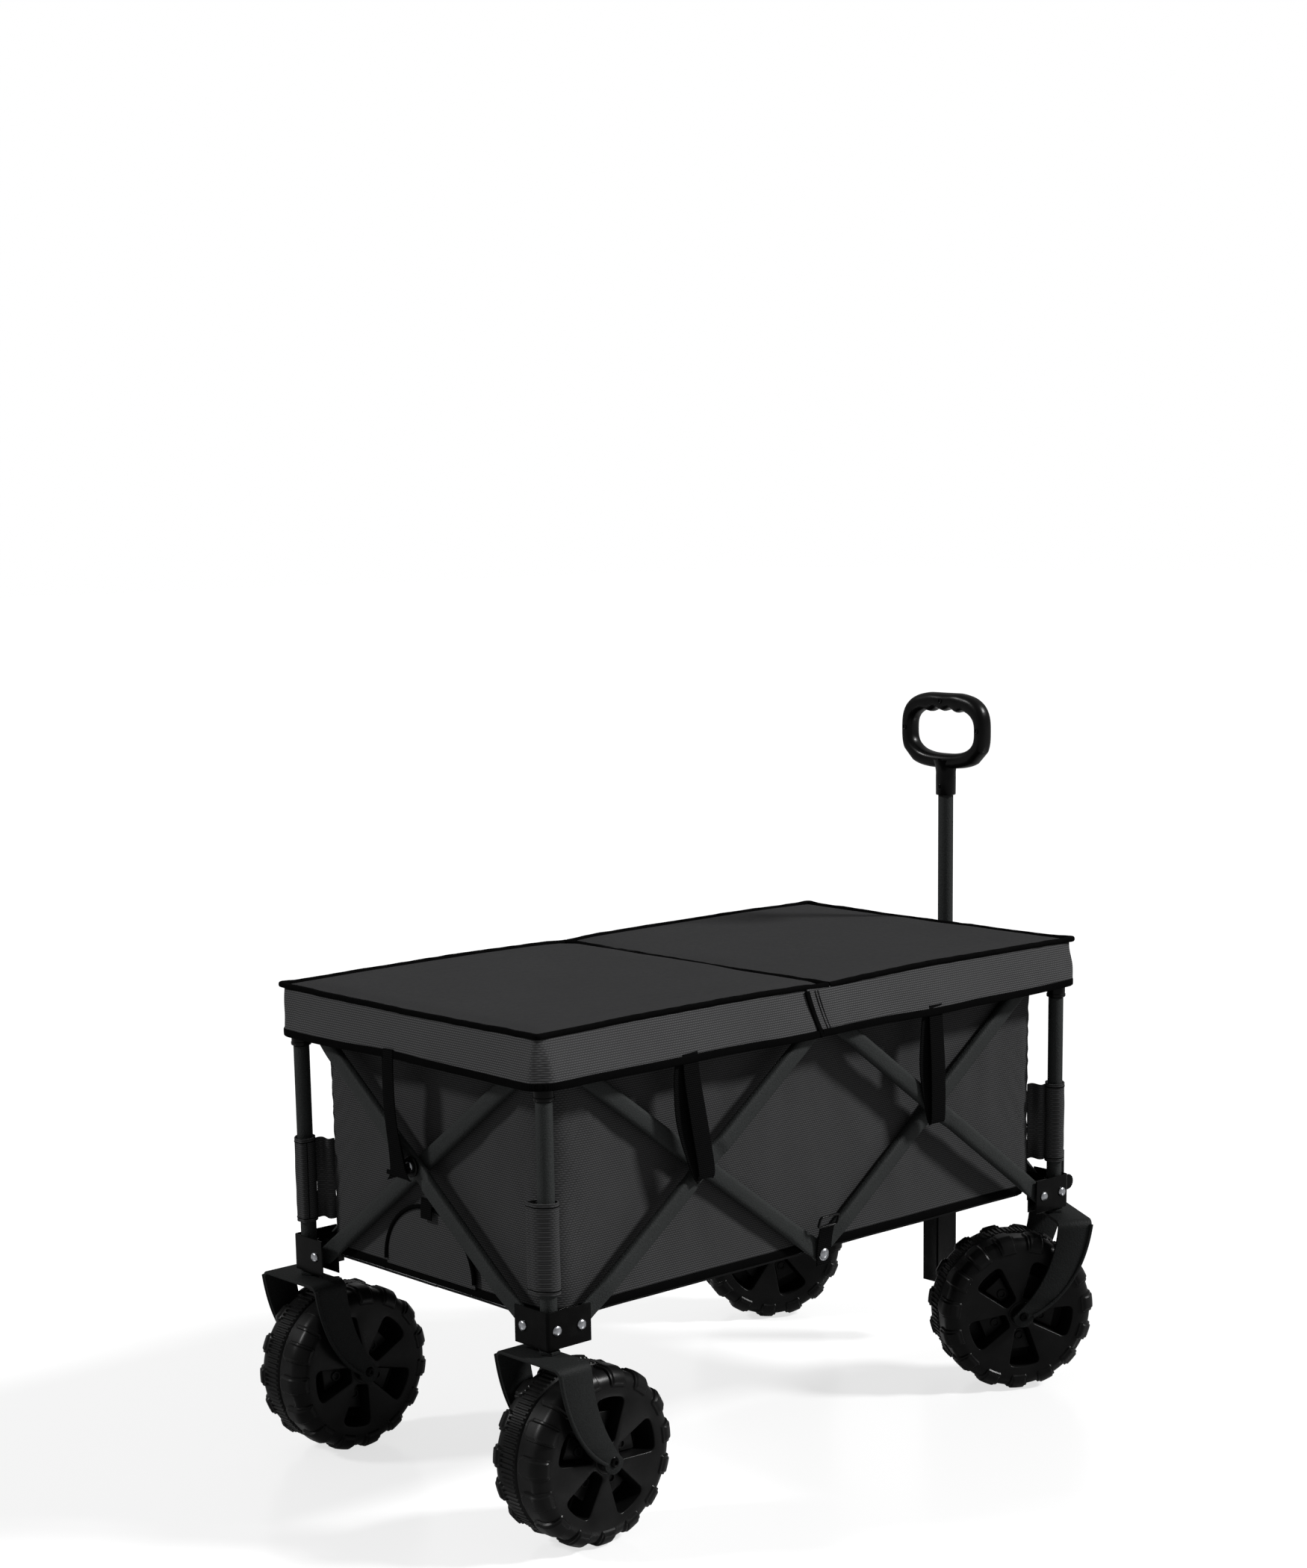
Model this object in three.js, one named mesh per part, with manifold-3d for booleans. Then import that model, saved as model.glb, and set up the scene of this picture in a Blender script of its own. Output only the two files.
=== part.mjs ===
// Folding camp wagon, in millimetres. +X points forwards to the pull handle, +Y to the left and +Z up.
// The frame is a ring of scissor crosses: two on each long side and one on each end. All arms are equally
// long, so every cross stays at one angle as the wagon folds, and its length, width and height change together.

import * as THREE from "three";
import { mergeVertices } from "three/addons/utils/BufferGeometryUtils.js";
import Module from "manifold-3d";

const wasm = await Module();
wasm.setup();

// ---- Driving dimensions ----

const GAP = 0.3; // left between pieces that touch

// corner posts stand at (+-POST_X, +-POST_Y)
const POST_X = 425;
const POST_Y = 224;
const POST_R = 9.75;
const POST_BORE = 8.3;
const POST_LOW = 236;
const POST_TOP = 495;
const UPPER_R = 7.8;
const UPPER_LOW = 262;
const UPPER_TOP = 555;

// scissor pivots: how far they stand in from the post, and their heights when the wagon is open
const PIVOT_IN_X = 35;
const SIDE_SPAN = POST_X - PIVOT_IN_X;
const PIVOT_IN_Y = (2 * POST_Y - SIDE_SPAN) / 2;
const PIVOT_LOW = 252;
const PIVOT_HIGH = 542;
const PIVOT_MID = (PIVOT_LOW + PIVOT_HIGH) / 2;

// scissor arms: flat oval bars in two layers, measured outwards from the plane of the posts
const ARM_WIDTH = 22;
const OUTER = [0.5, 10.5];
const INNER = [-10.5, -0.5];
const LAP_LENGTH = 46;
const LAP_GAP = 0.8;
const PIN_R = 4;
const PIN_HOLE_R = 4.5;
const HEAD_R = 6.5;
const HEAD_RISE = 2.2;
const PIN_SIDES = 10;
const TUBE_SIDES = 14;

// bracket under each post
const PLATE = 2;
const PLATE_OUT = 11;
const BRACKET_LOW = 231;
const BRACKET_HIGH = 274;
const BRACKET_PAST_PIVOT = 14;
const SOCKET_R = 12.8;

// plastic cap on each post
const CAP_HALF = 11;
const CAP_LOW = 506;
const CAP_TOP = 566.7;

// wheels, forks and axles
const WHEEL_R = 102;
const WHEEL_W = 86;
const WHEEL_SIDES = 28;
const WINDOWS = 5;
const AXLE_R = 5;
const REAR_AXLE_IN = 44; // the rear axle stands this far ahead of its post
const CASTER_TRAIL = 58;
const CASTER_YAW = (-30 * Math.PI) / 180; // both casters stand turned, as after a bend
const FORK_TOP = 224;
const FORK_THICK = 4;
const FORK_HALF = 55;

// pull handle
const HANDLE_X = 465;
const CHANNEL_LOW = 83;
const CHANNEL_HIGH = 425;
const CHANNEL_HALF = 13.5;
const CHANNEL_FRONT = 474;
const TILT_X = 467;
const TILT_Z = 97;
const GRIP_LOW = 780;
const GRIP_HIGH = 880;
const GRIP_WIDTH = 144;

// fabric tub
const WALL = 6;
const TUB_X = 412;
const TUB_Y = 211;
const TUB_LOW = 245;
const TUB_HIGH = 560;
const FLOOR = 5;

// lid
const LID_X = 440;
const LID_Y = 233;
const LID_LOW = 567;
const LID_TOP = 581.7;
const HEM_Z = 520;
const HEM_X = 449;
const HEM_Y = 246;
const SKIRT = 2;
const STRAP_WIDTH = 26;
const STRAP_LOW = 385;

// ---- Materials ----

function material(color, roughness, metalness) {
  return new THREE.MeshStandardMaterial({ color, roughness, metalness });
}
const POWDER_COAT = material(0x33363a, 0.75, 0.3);
const BLACK_STEEL = material(0x131415, 0.45, 0.5);
const BRIGHT_STEEL = material(0xb9bcc0, 0.3, 1);
const WHEEL_PLASTIC = material(0x17181a, 0.5, 0);
const GRIP_PLASTIC = material(0x101113, 0.4, 0);
const FABRIC = material(0x3a3c40, 0.9, 0);
const LID_FABRIC = material(0x2a2b2e, 0.9, 0);

// ---- Solids ----

/** Turns closed three.js geometry into a solid that can be cut and joined, with its faces pointing out. */
function solid(geometry) {
  const plain = geometry.clone();
  plain.deleteAttribute("normal");
  plain.deleteAttribute("uv");
  const merged = mergeVertices(plain, 1e-4);
  const at = merged.attributes.position.array;
  const tris = Uint32Array.from(merged.index.array);
  const kept = [];
  for (let i = 0; i < tris.length; i += 3) {
    const [a, b, c] = [tris[i], tris[i + 1], tris[i + 2]];
    if (a !== b && b !== c && a !== c) kept.push(a, b, c);
  }
  const p = (i) => new THREE.Vector3(at[3 * i], at[3 * i + 1], at[3 * i + 2]);
  let volume = 0;
  for (let i = 0; i < kept.length; i += 3) {
    volume += p(kept[i]).dot(p(kept[i + 1]).cross(p(kept[i + 2])));
  }
  if (volume < 0) kept.reverse();
  const triVerts = Uint32Array.from(kept);
  const vertProperties = Float32Array.from(at);
  return new wasm.Manifold(new wasm.Mesh({ numProp: 3, vertProperties, triVerts }));
}

function geometryOf(shape) {
  const { vertProperties, triVerts } = shape.getMesh();
  const geometry = new THREE.BufferGeometry();
  geometry.setAttribute("position", new THREE.BufferAttribute(Float32Array.from(vertProperties), 3));
  geometry.setIndex(Array.from(triVerts));
  geometry.computeVertexNormals();
  return geometry;
}

function joined(...pieces) {
  return pieces.reduce((all, next) => all.add(next));
}

function box(x0, x1, y0, y1, z0, z1) {
  const geometry = new THREE.BoxGeometry(Math.abs(x1 - x0), Math.abs(y1 - y0), Math.abs(z1 - z0));
  return solid(geometry.translate((x0 + x1) / 2, (y0 + y1) / 2, (z0 + z1) / 2));
}

/** A round bar between two points. */
function rod(from, to, radius, sides = PIN_SIDES) {
  const a = new THREE.Vector3(...from);
  const b = new THREE.Vector3(...to);
  const geometry = new THREE.CylinderGeometry(radius, radius, a.distanceTo(b), sides);
  const along = b.clone().sub(a).normalize();
  const turn = new THREE.Quaternion().setFromUnitVectors(new THREE.Vector3(0, 1, 0), along);
  return solid(geometry.applyQuaternion(turn).translate(...a.add(b).multiplyScalar(0.5).toArray()));
}

/** Spins a closed outline of [radius, height] points about the Z axis. */
function turned(outline, sides) {
  const points = [...outline, outline[0]].map(([r, h]) => new THREE.Vector2(r, h));
  return solid(new THREE.LatheGeometry(points, sides).rotateX(Math.PI / 2));
}

/** Extrudes a shape drawn as (x, z) along Y, from y0 to y1. */
function extrudedAlongY(shape, y0, y1, curveSegments = 6) {
  const geometry = new THREE.ExtrudeGeometry(shape, { depth: y1 - y0, bevelEnabled: false, curveSegments });
  return solid(geometry.rotateX(Math.PI / 2).translate(0, y1, 0));
}

/** A solid whose rectangular outline grows from one half-size to another between two heights. */
function flaredBlock(low, high) {
  const shape = new THREE.BoxGeometry(2, 2, 2);
  const at = shape.attributes.position;
  for (let i = 0; i < at.count; i++) {
    const end = at.getZ(i) < 0 ? low : high;
    at.setXYZ(i, at.getX(i) * end.x, at.getY(i) * end.y, end.z);
  }
  return solid(shape);
}

// ---- The scene graph ----

const wagon = new THREE.Group();

function add(name, shape, look, parent = wagon) {
  const mesh = new THREE.Mesh(geometryOf(shape), look);
  mesh.name = name;
  parent.add(mesh);
}

/** A group for one side of the frame: x along it, y up, and z outwards from the plane of the posts. */
function frameSide(turn, distance) {
  const turning = new THREE.Group();
  turning.rotation.z = turn;
  const facing = new THREE.Group();
  facing.rotation.x = Math.PI / 2;
  facing.position.y = -distance;
  turning.add(facing);
  wagon.add(turning);
  return facing;
}

// ---- Scissor arms ----

/** A pivot pin across the layers, at (x, y) in a frame side, with a rivet head at its outer end. */
function sidePin(x, y, inEnd, outEnd) {
  return joined(
    rod([x, y, inEnd], [x, y, outEnd], PIN_R),
    rod([x, y, outEnd - 0.5], [x, y, outEnd + HEAD_RISE], HEAD_R),
  );
}

/**
 * One arm from its lower pivot to its upper one, in a layer. lap says which end is thinned, "low", "high" or
 * none, and which half it keeps, so that two arms of one layer can share a pivot.
 */
function arm(from, to, layer, { lap, keepsOuterHalf, centrePin } = {}) {
  const length = Math.hypot(to[0] - from[0], to[1] - from[1]);
  const half = ARM_WIDTH / 2;
  const outline = new THREE.Shape();
  outline.moveTo(0, -half);
  outline.lineTo(length, -half);
  outline.absarc(length, 0, half, -Math.PI / 2, Math.PI / 2, false);
  outline.lineTo(0, half);
  outline.absarc(0, 0, half, Math.PI / 2, (3 * Math.PI) / 2, false);
  const [back, front] = layer;
  const depth = front - back;
  const blank = new THREE.ExtrudeGeometry(outline, { depth, bevelEnabled: false, curveSegments: 5 });
  let bar = solid(blank.translate(0, 0, back));
  const holes = centrePin ? [0, length] : [0, length / 2, length];
  for (const x of holes) {
    bar = bar.subtract(rod([x, 0, back - 1], [x, 0, front + 1], PIN_HOLE_R));
  }
  if (lap) {
    const middle = (back + front) / 2;
    const cutLow = keepsOuterHalf ? back - 1 : middle - LAP_GAP / 2;
    const cutHigh = keepsOuterHalf ? middle + LAP_GAP / 2 : front + 1;
    const [x0, x1] = lap === "low" ? [-half - 1, LAP_LENGTH] : [length - LAP_LENGTH, length + half + 1];
    bar = bar.subtract(box(x0, x1, -half - 1, half + 1, cutLow, cutHigh));
  }
  if (centrePin) bar = bar.add(sidePin(length / 2, 0, back + 1, OUTER[1] + 1));
  const angle = (Math.atan2(to[1] - from[1], to[0] - from[0]) * 180) / Math.PI;
  return bar.rotate([0, 0, angle]).translate([from[0], from[1], 0]);
}

/** The two crosses of a long side. "near" is the end at negative x in the side's own frame. */
function longSide(side, hand, near, far) {
  const [low, high, end] = [PIVOT_LOW, PIVOT_HIGH, SIDE_SPAN];
  const outerLap = (keepsOuterHalf) => ({ lap: "high", keepsOuterHalf });
  const innerLap = (keepsOuterHalf) => ({ lap: "low", keepsOuterHalf, centrePin: true });
  for (const [name, s] of [[near, -1], [far, 1]]) {
    const inner = arm([0, low], [s * end, high], INNER, innerLap(s < 0));
    const outer = arm([s * end, low], [0, high], OUTER, outerLap(s < 0));
    add(`${name}_${hand}_inner_arm`, inner, POWDER_COAT, side);
    add(`${name}_${hand}_outer_arm`, outer, POWDER_COAT, side);
  }
  add(`mid_bottom_rivet_${hand}`, sidePin(0, low, INNER[0] - 1, INNER[1] + 2), BRIGHT_STEEL, side);
  add(`mid_top_rivet_${hand}`, sidePin(0, high, OUTER[0] - 2, OUTER[1] + 1), BRIGHT_STEEL, side);
}

/** The cross of one end. Its outer arm runs up from negative x to positive x. */
function endCross(side, name, risesToPositive, centrePin) {
  const half = POST_Y - PIVOT_IN_Y;
  const s = risesToPositive ? 1 : -1;
  const outer = arm([-s * half, PIVOT_LOW], [s * half, PIVOT_HIGH], OUTER);
  const inner = arm([s * half, PIVOT_LOW], [-s * half, PIVOT_HIGH], INNER, { centrePin });
  add(`${name}_outer_arm`, outer, POWDER_COAT, side);
  add(`${name}_inner_arm`, inner, POWDER_COAT, side);
}

const rightSide = frameSide(0, POST_Y);
const frontSide = frameSide(Math.PI / 2, POST_X);
const leftSide = frameSide(Math.PI, POST_Y);
const rearSide = frameSide(-Math.PI / 2, POST_X);
longSide(rightSide, "right", "rear", "front");
longSide(leftSide, "left", "front", "rear");
endCross(frontSide, "front_end", true, false);
endCross(rearSide, "rear_end", false, true);

// ---- Corners ----

// sx and sy say which corner: front is +x and left is +y. On the left corners the end cross is one layer
// further in at the bottom and one further out at the top.
const CORNERS = {
  front_right: { sx: 1, sy: -1 },
  front_left: { sx: 1, sy: 1 },
  rear_right: { sx: -1, sy: -1 },
  rear_left: { sx: -1, sy: 1 },
};

/** A box at a corner, from distances inwards along X and Y, measured from the post. */
function cornerBox({ sx, sy }, x0, x1, y0, y1, z0, z1) {
  return box(sx * (POST_X - x0), sx * (POST_X - x1), sy * (POST_Y - y0), sy * (POST_Y - y1), z0, z1);
}

function cornerPoint({ sx, sy }, inX, inY, z) {
  return [sx * (POST_X - inX), sy * (POST_Y - inY), z];
}

function cornerRod(corner, from, to, radius, sides) {
  return rod(cornerPoint(corner, ...from), cornerPoint(corner, ...to), radius, sides);
}

function bracket(corner) {
  const out = -PLATE_OUT - PLATE;
  const endX = PIVOT_IN_X + BRACKET_PAST_PIVOT;
  const endY = PIVOT_IN_Y + BRACKET_PAST_PIVOT;
  const [low, high] = [BRACKET_LOW, BRACKET_HIGH];
  const endArmInner = corner.sy > 0;
  const backOfEndArm = endArmInner ? -INNER[0] + 0.5 : 1;
  const shell = joined(
    cornerBox(corner, out, endX, out, -PLATE_OUT, low, high),
    cornerBox(corner, out, -PLATE_OUT, out, endY, low, high),
    cornerBox(corner, 8, endX, 1, 1 + PLATE, low, high),
    cornerBox(corner, backOfEndArm, backOfEndArm + PLATE / 2, 1, endY, low, high),
    cornerRod(corner, [0, 0, low], [0, 0, high - 6], SOCKET_R, TUBE_SIDES),
  );
  const open = cornerRod(corner, [0, 0, low + 4.7], [0, 0, high + 1], POST_R + GAP, TUBE_SIDES);
  const sideIn = [PIVOT_IN_X, 2, PIVOT_LOW];
  const endIn = [backOfEndArm + 0.5, PIVOT_IN_Y, PIVOT_LOW];
  const reach = -PLATE_OUT - PLATE - HEAD_RISE;
  const pins = joined(
    cornerRod(corner, sideIn, [PIVOT_IN_X, -PLATE_OUT - 1, PIVOT_LOW], PIN_R),
    cornerRod(corner, [PIVOT_IN_X, out + 0.5, PIVOT_LOW], [PIVOT_IN_X, reach, PIVOT_LOW], HEAD_R),
    cornerRod(corner, [0, out + 0.5, PIVOT_LOW], [0, reach, PIVOT_LOW], HEAD_R),
    cornerRod(corner, endIn, [-PLATE_OUT - 1, PIVOT_IN_Y, PIVOT_LOW], PIN_R),
    cornerRod(corner, [out + 0.5, PIVOT_IN_Y, PIVOT_LOW], [reach, PIVOT_IN_Y, PIVOT_LOW], HEAD_R),
  );
  return joined(shell.subtract(open), pins);
}

/** The nose of a front bracket, with the short upright channel that it carries. */
function frontNose(corner) {
  const [back, front, width, wall] = [-11, -26, 17, 2];
  const [low, high, y] = [246, 300, 4];
  const nose = cornerBox(corner, back, front - 8, y, y + PLATE, low, low + 20);
  const tip = cornerRod(corner, [front - 8, y, low + 10], [front - 8, y + PLATE, low + 10], 10, PIN_SIDES);
  const channel = cornerBox(corner, back - 4, front, y, y + width, low + 8, high);
  const open = [back - 4 - wall, front - 1];
  const inside = cornerBox(corner, ...open, y + wall, y + width - wall, low + 10, high + 1);
  return joined(nose, tip, channel.subtract(inside));
}

function postCap(corner) {
  const endOuter = corner.sy > 0;
  const ear = [1.5, 9.5];
  const [earLow, earHigh] = [PIVOT_HIGH - 12, PIVOT_HIGH + 12];
  const endEar = endOuter ? ear : [-ear[1], -ear[0]];
  const endPin = endOuter ? [2, -OUTER[1] - 1] : [-2, -INNER[0] + 1];
  const bore = cornerRod(corner, [0, 0, CAP_LOW - 1], [0, 0, UPPER_TOP + GAP], UPPER_R + 0.4, TUBE_SIDES);
  const body = joined(
    cornerBox(corner, -CAP_HALF, CAP_HALF, -CAP_HALF, CAP_HALF, CAP_LOW, CAP_TOP),
    cornerBox(corner, 0, PIVOT_IN_X + 12, -ear[1], -ear[0], earLow, earHigh),
    cornerBox(corner, endEar[0], endEar[1], 0, PIVOT_IN_Y + 12, earLow, earHigh),
    cornerRod(corner, [PIVOT_IN_X, -2, PIVOT_HIGH], [PIVOT_IN_X, -INNER[0] + 1, PIVOT_HIGH], PIN_R),
    cornerRod(corner, [endPin[0], PIVOT_IN_Y, PIVOT_HIGH], [endPin[1], PIVOT_IN_Y, PIVOT_HIGH], PIN_R),
  );
  return body.subtract(bore);
}

// ---- Forks, wheels and axles ----

/** A bent-steel fork about its stem, with its axle at (axleX, WHEEL_R). */
function fork(axleX) {
  const s = Math.sign(axleX);
  const [back, front] = [-37 * s, 14 * s];
  const boss = 14;
  const [arcFrom, arcTo] = s > 0 ? [Math.PI, 2 * Math.PI] : [0, Math.PI];
  const side = new THREE.Shape();
  side.moveTo(back, FORK_TOP);
  side.quadraticCurveTo(back + 12 * s, WHEEL_R + 32, axleX - boss * s, WHEEL_R - 2);
  side.absarc(axleX, WHEEL_R, boss, arcFrom, arcTo, s < 0);
  side.quadraticCurveTo(front + 2 * s, WHEEL_R + 50, front, FORK_TOP);
  const inside = FORK_HALF - FORK_THICK;
  const hole = rod([axleX, -FORK_HALF - 1, WHEEL_R], [axleX, FORK_HALF + 1, WHEEL_R], AXLE_R + 0.4);
  return joined(
    extrudedAlongY(side, -FORK_HALF, -inside),
    extrudedAlongY(side, inside, FORK_HALF),
    box(back, front, -FORK_HALF, FORK_HALF, FORK_TOP - FORK_THICK, FORK_TOP),
    rod([0, 0, FORK_TOP - 1], [0, 0, BRACKET_LOW - GAP], 8, TUBE_SIDES),
  ).subtract(hole);
}

/** A hollow wheel about the Y axis: a tread shell, two faces with wedge windows, and a hub. */
function wheel() {
  const half = WHEEL_W / 2;
  const sides = WHEEL_SIDES;
  const r = WHEEL_R / Math.cos(Math.PI / sides);
  const shell = 5;
  const outside = [[0, -half], [86, -half], [97, -half + 12], [r, -24]];
  const inside = [[0, -half + shell], [84, -half + shell], [r - shell, -22]];
  const mirrored = (rim) => rim.map(([a, b]) => [a, -b]).reverse();
  const whole = (rim) => turned([...rim, ...mirrored(rim)], sides);
  const hub = rod([0, 0, -half], [0, 0, half], 16, TUBE_SIDES);
  let body = whole(outside).subtract(whole(inside)).add(hub);
  body = body.subtract(rod([0, 0, -half - 1], [0, 0, half + 1], AXLE_R + 0.5));
  const wedge = new THREE.Shape();
  const [near, nearHalf, far, spread] = [19, 8.5, 70, 0.31];
  wedge.moveTo(near, -nearHalf);
  wedge.absarc(0, 0, far, -spread, spread, false);
  wedge.lineTo(near, nearHalf);
  const settings = { depth: WHEEL_W + 2, bevelEnabled: false, curveSegments: 3 };
  const opening = new THREE.ExtrudeGeometry(wedge, settings);
  const cut = solid(opening.translate(0, 0, -half - 1));
  for (let i = 0; i < WINDOWS; i++) {
    body = body.subtract(cut.rotate([0, 0, (360 * i) / WINDOWS]));
  }
  // a flat of the tread faces down once the wheel's axis lies along Y
  return body.rotate([0, 0, 180 / sides]).rotate([90, 0, 0]);
}

function axle() {
  const end = FORK_HALF + GAP;
  return joined(
    rod([0, -end - 6, 0], [0, end + 6, 0], AXLE_R),
    rod([0, -end - 6, 0], [0, -end, 0], 9, 6),
    rod([0, end, 0], [0, end + 6, 0], 9, 6),
  );
}

const WHEEL = wheel();
const AXLE = axle();

for (const [name, corner] of Object.entries(CORNERS)) {
  const front = corner.sx > 0;
  const [x, y] = [corner.sx * POST_X, corner.sy * POST_Y];
  const tube = [[POST_BORE, POST_LOW], [POST_R, POST_LOW], [POST_R, POST_TOP], [POST_BORE, POST_TOP]];
  add(`${name}_post`, turned(tube, TUBE_SIDES).translate([x, y, 0]), POWDER_COAT);
  add(`${name}_upper_tube`, rod([x, y, UPPER_LOW], [x, y, UPPER_TOP], UPPER_R, TUBE_SIDES), POWDER_COAT);
  add(`${name}_bracket`, front ? bracket(corner).add(frontNose(corner)) : bracket(corner), BLACK_STEEL);
  add(`${name}_cap`, postCap(corner), GRIP_PLASTIC);
  const undercarriage = new THREE.Group();
  undercarriage.position.set(x, y, 0);
  undercarriage.rotation.z = front ? CASTER_YAW : 0;
  const axleX = front ? -CASTER_TRAIL : REAR_AXLE_IN;
  const onAxle = new THREE.Group();
  onAxle.position.set(axleX, 0, WHEEL_R);
  undercarriage.add(onAxle);
  wagon.add(undercarriage);
  add(`${name}_fork`, fork(axleX), POWDER_COAT, undercarriage);
  add(`${name}_axle`, AXLE, BLACK_STEEL, onAxle);
  add(`${name}_wheel`, WHEEL, WHEEL_PLASTIC, onAxle);
}

// ---- Pull handle ----

function handleChannel() {
  const back = POST_X + OUTER[1] + 1;
  const outside = box(back, CHANNEL_FRONT, -CHANNEL_HALF, CHANNEL_HALF, CHANNEL_LOW, CHANNEL_HIGH);
  const half = CHANNEL_HALF - PLATE;
  const inside = box(back + PLATE, CHANNEL_FRONT + 1, -half, half, CHANNEL_LOW - 1, CHANNEL_HIGH + 1);
  const tiltPin = joined(
    rod([TILT_X, -CHANNEL_HALF - 2, TILT_Z], [TILT_X, CHANNEL_HALF + 2, TILT_Z], PIN_R),
    rod([TILT_X, -CHANNEL_HALF - 2.5, TILT_Z], [TILT_X, -CHANNEL_HALF + 0.5, TILT_Z], HEAD_R),
    rod([TILT_X, CHANNEL_HALF - 0.5, TILT_Z], [TILT_X, CHANNEL_HALF + 2.5, TILT_Z], HEAD_R),
  );
  const crossPin = rod([POST_X + INNER[0] - 1, 0, PIVOT_MID], [back + 1, 0, PIVOT_MID], PIN_R);
  return joined(outside.subtract(inside), tiltPin, crossPin);
}

const LOWER_TUBE = { r: 8.2, low: 86, high: 600 };
const UPPER_TUBE = { r: 10, bore: 8.6, low: 330, high: 757.5 };
const COLLAR = { r: 13, low: 745, high: 790 };

/** The ring of the grip, drawn as (y, z): flat on top, round below, with three finger waves inside the top. */
function gripRing() {
  const half = GRIP_WIDTH / 2;
  const bevel = 5;
  const ring = new THREE.Shape();
  const [low, high] = [GRIP_LOW + bevel, GRIP_HIGH - bevel];
  const [w, corner] = [half - bevel, 34];
  ring.moveTo(-w + corner, low);
  ring.lineTo(w - corner, low);
  ring.quadraticCurveTo(w, low, w, (low + high) / 2);
  ring.quadraticCurveTo(w, high, w - corner, high);
  ring.lineTo(-w + corner, high);
  ring.quadraticCurveTo(-w, high, -w, (low + high) / 2);
  ring.quadraticCurveTo(-w, low, -w + corner, low);
  const hole = new THREE.Path();
  const [holeW, holeLow, holeHigh, wave] = [48, 797, 862, 22];
  hole.moveTo(-holeW + 20, holeLow);
  hole.quadraticCurveTo(-holeW, holeLow, -holeW, (holeLow + holeHigh) / 2);
  hole.quadraticCurveTo(-holeW, holeHigh, -1.5 * wave, holeHigh);
  for (const middle of [-1, 0, 1]) {
    hole.quadraticCurveTo(middle * wave, holeHigh - 9, (middle + 0.5) * wave, holeHigh);
  }
  hole.quadraticCurveTo(holeW, holeHigh, holeW, (holeLow + holeHigh) / 2);
  hole.quadraticCurveTo(holeW, holeLow, holeW - 20, holeLow);
  hole.closePath();
  ring.holes.push(hole);
  const depth = 18;
  const style = { depth, bevelThickness: bevel, bevelSize: bevel, bevelSegments: 1, curveSegments: 4 };
  const geometry = new THREE.ExtrudeGeometry(ring, style).translate(0, 0, -depth / 2);
  // drawn x, y and depth become the wagon's Y, Z and X
  const turn = new THREE.Matrix4().makeBasis(
    new THREE.Vector3(0, 1, 0),
    new THREE.Vector3(0, 0, 1),
    new THREE.Vector3(1, 0, 0),
  );
  return solid(geometry.applyMatrix4(turn).translate(HANDLE_X, 0, 0));
}

function handle() {
  add("handle_channel", handleChannel(), BLACK_STEEL);
  const bar = rod([HANDLE_X, 0, LOWER_TUBE.low], [HANDLE_X, 0, LOWER_TUBE.high], LOWER_TUBE.r, TUBE_SIDES);
  const hole = rod([TILT_X, -20, TILT_Z], [TILT_X, 20, TILT_Z], PIN_HOLE_R);
  add("handle_lower_tube", bar.subtract(hole), POWDER_COAT);
  const { r, bore, low, high } = UPPER_TUBE;
  const upper = turned([[bore, low], [r, low], [r, high], [bore, high]], TUBE_SIDES);
  add("handle_upper_tube", upper.translate([HANDLE_X, 0, 0]), POWDER_COAT);
  const collar = rod([HANDLE_X, 0, COLLAR.low], [HANDLE_X, 0, COLLAR.high], COLLAR.r, TUBE_SIDES);
  const socket = rod([HANDLE_X, 0, COLLAR.low - 1], [HANDLE_X, 0, high + GAP], r + GAP, TUBE_SIDES);
  add("handle_grip", gripRing().add(collar).subtract(socket), GRIP_PLASTIC);
}
handle();

// ---- Tub ----

function tub() {
  const inX = TUB_X - WALL;
  const inY = TUB_Y - WALL;
  const clear = 0.5;
  for (const [name, s] of [["left", 1], ["right", -1]]) {
    add(`tub_${name}_wall`, box(-TUB_X, TUB_X, s * inY, s * TUB_Y, TUB_LOW, TUB_HIGH), FABRIC);
    const floor = box(-inX + clear, inX - clear, s * GAP, s * (inY - clear), TUB_LOW, TUB_LOW + FLOOR);
    add(`tub_${name}_floor`, floor, FABRIC);
  }
  for (const [name, s] of [["front", 1], ["rear", -1]]) {
    add(`tub_${name}_wall`, box(s * inX, s * TUB_X, -inY + clear, inY - clear, TUB_LOW, TUB_HIGH), FABRIC);
  }
}
tub();

/** The half-round flap low on the rear wall. */
function rearFlap() {
  const [half, low, high] = [82, 256, 345];
  const outline = new THREE.Shape();
  outline.moveTo(-half, low);
  outline.lineTo(half, low);
  outline.absellipse(0, low + 8, half, high - low - 8, 0, Math.PI, false);
  const flap = new THREE.ExtrudeGeometry(outline, { depth: 1.4, bevelEnabled: false, curveSegments: 10 });
  const onWall = -(POST_X - TUB_X) + 0.4;
  add("rear_flap", solid(flap.translate(0, 0, onWall)), FABRIC, rearSide);
}
rearFlap();

// ---- Lid ----

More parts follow.
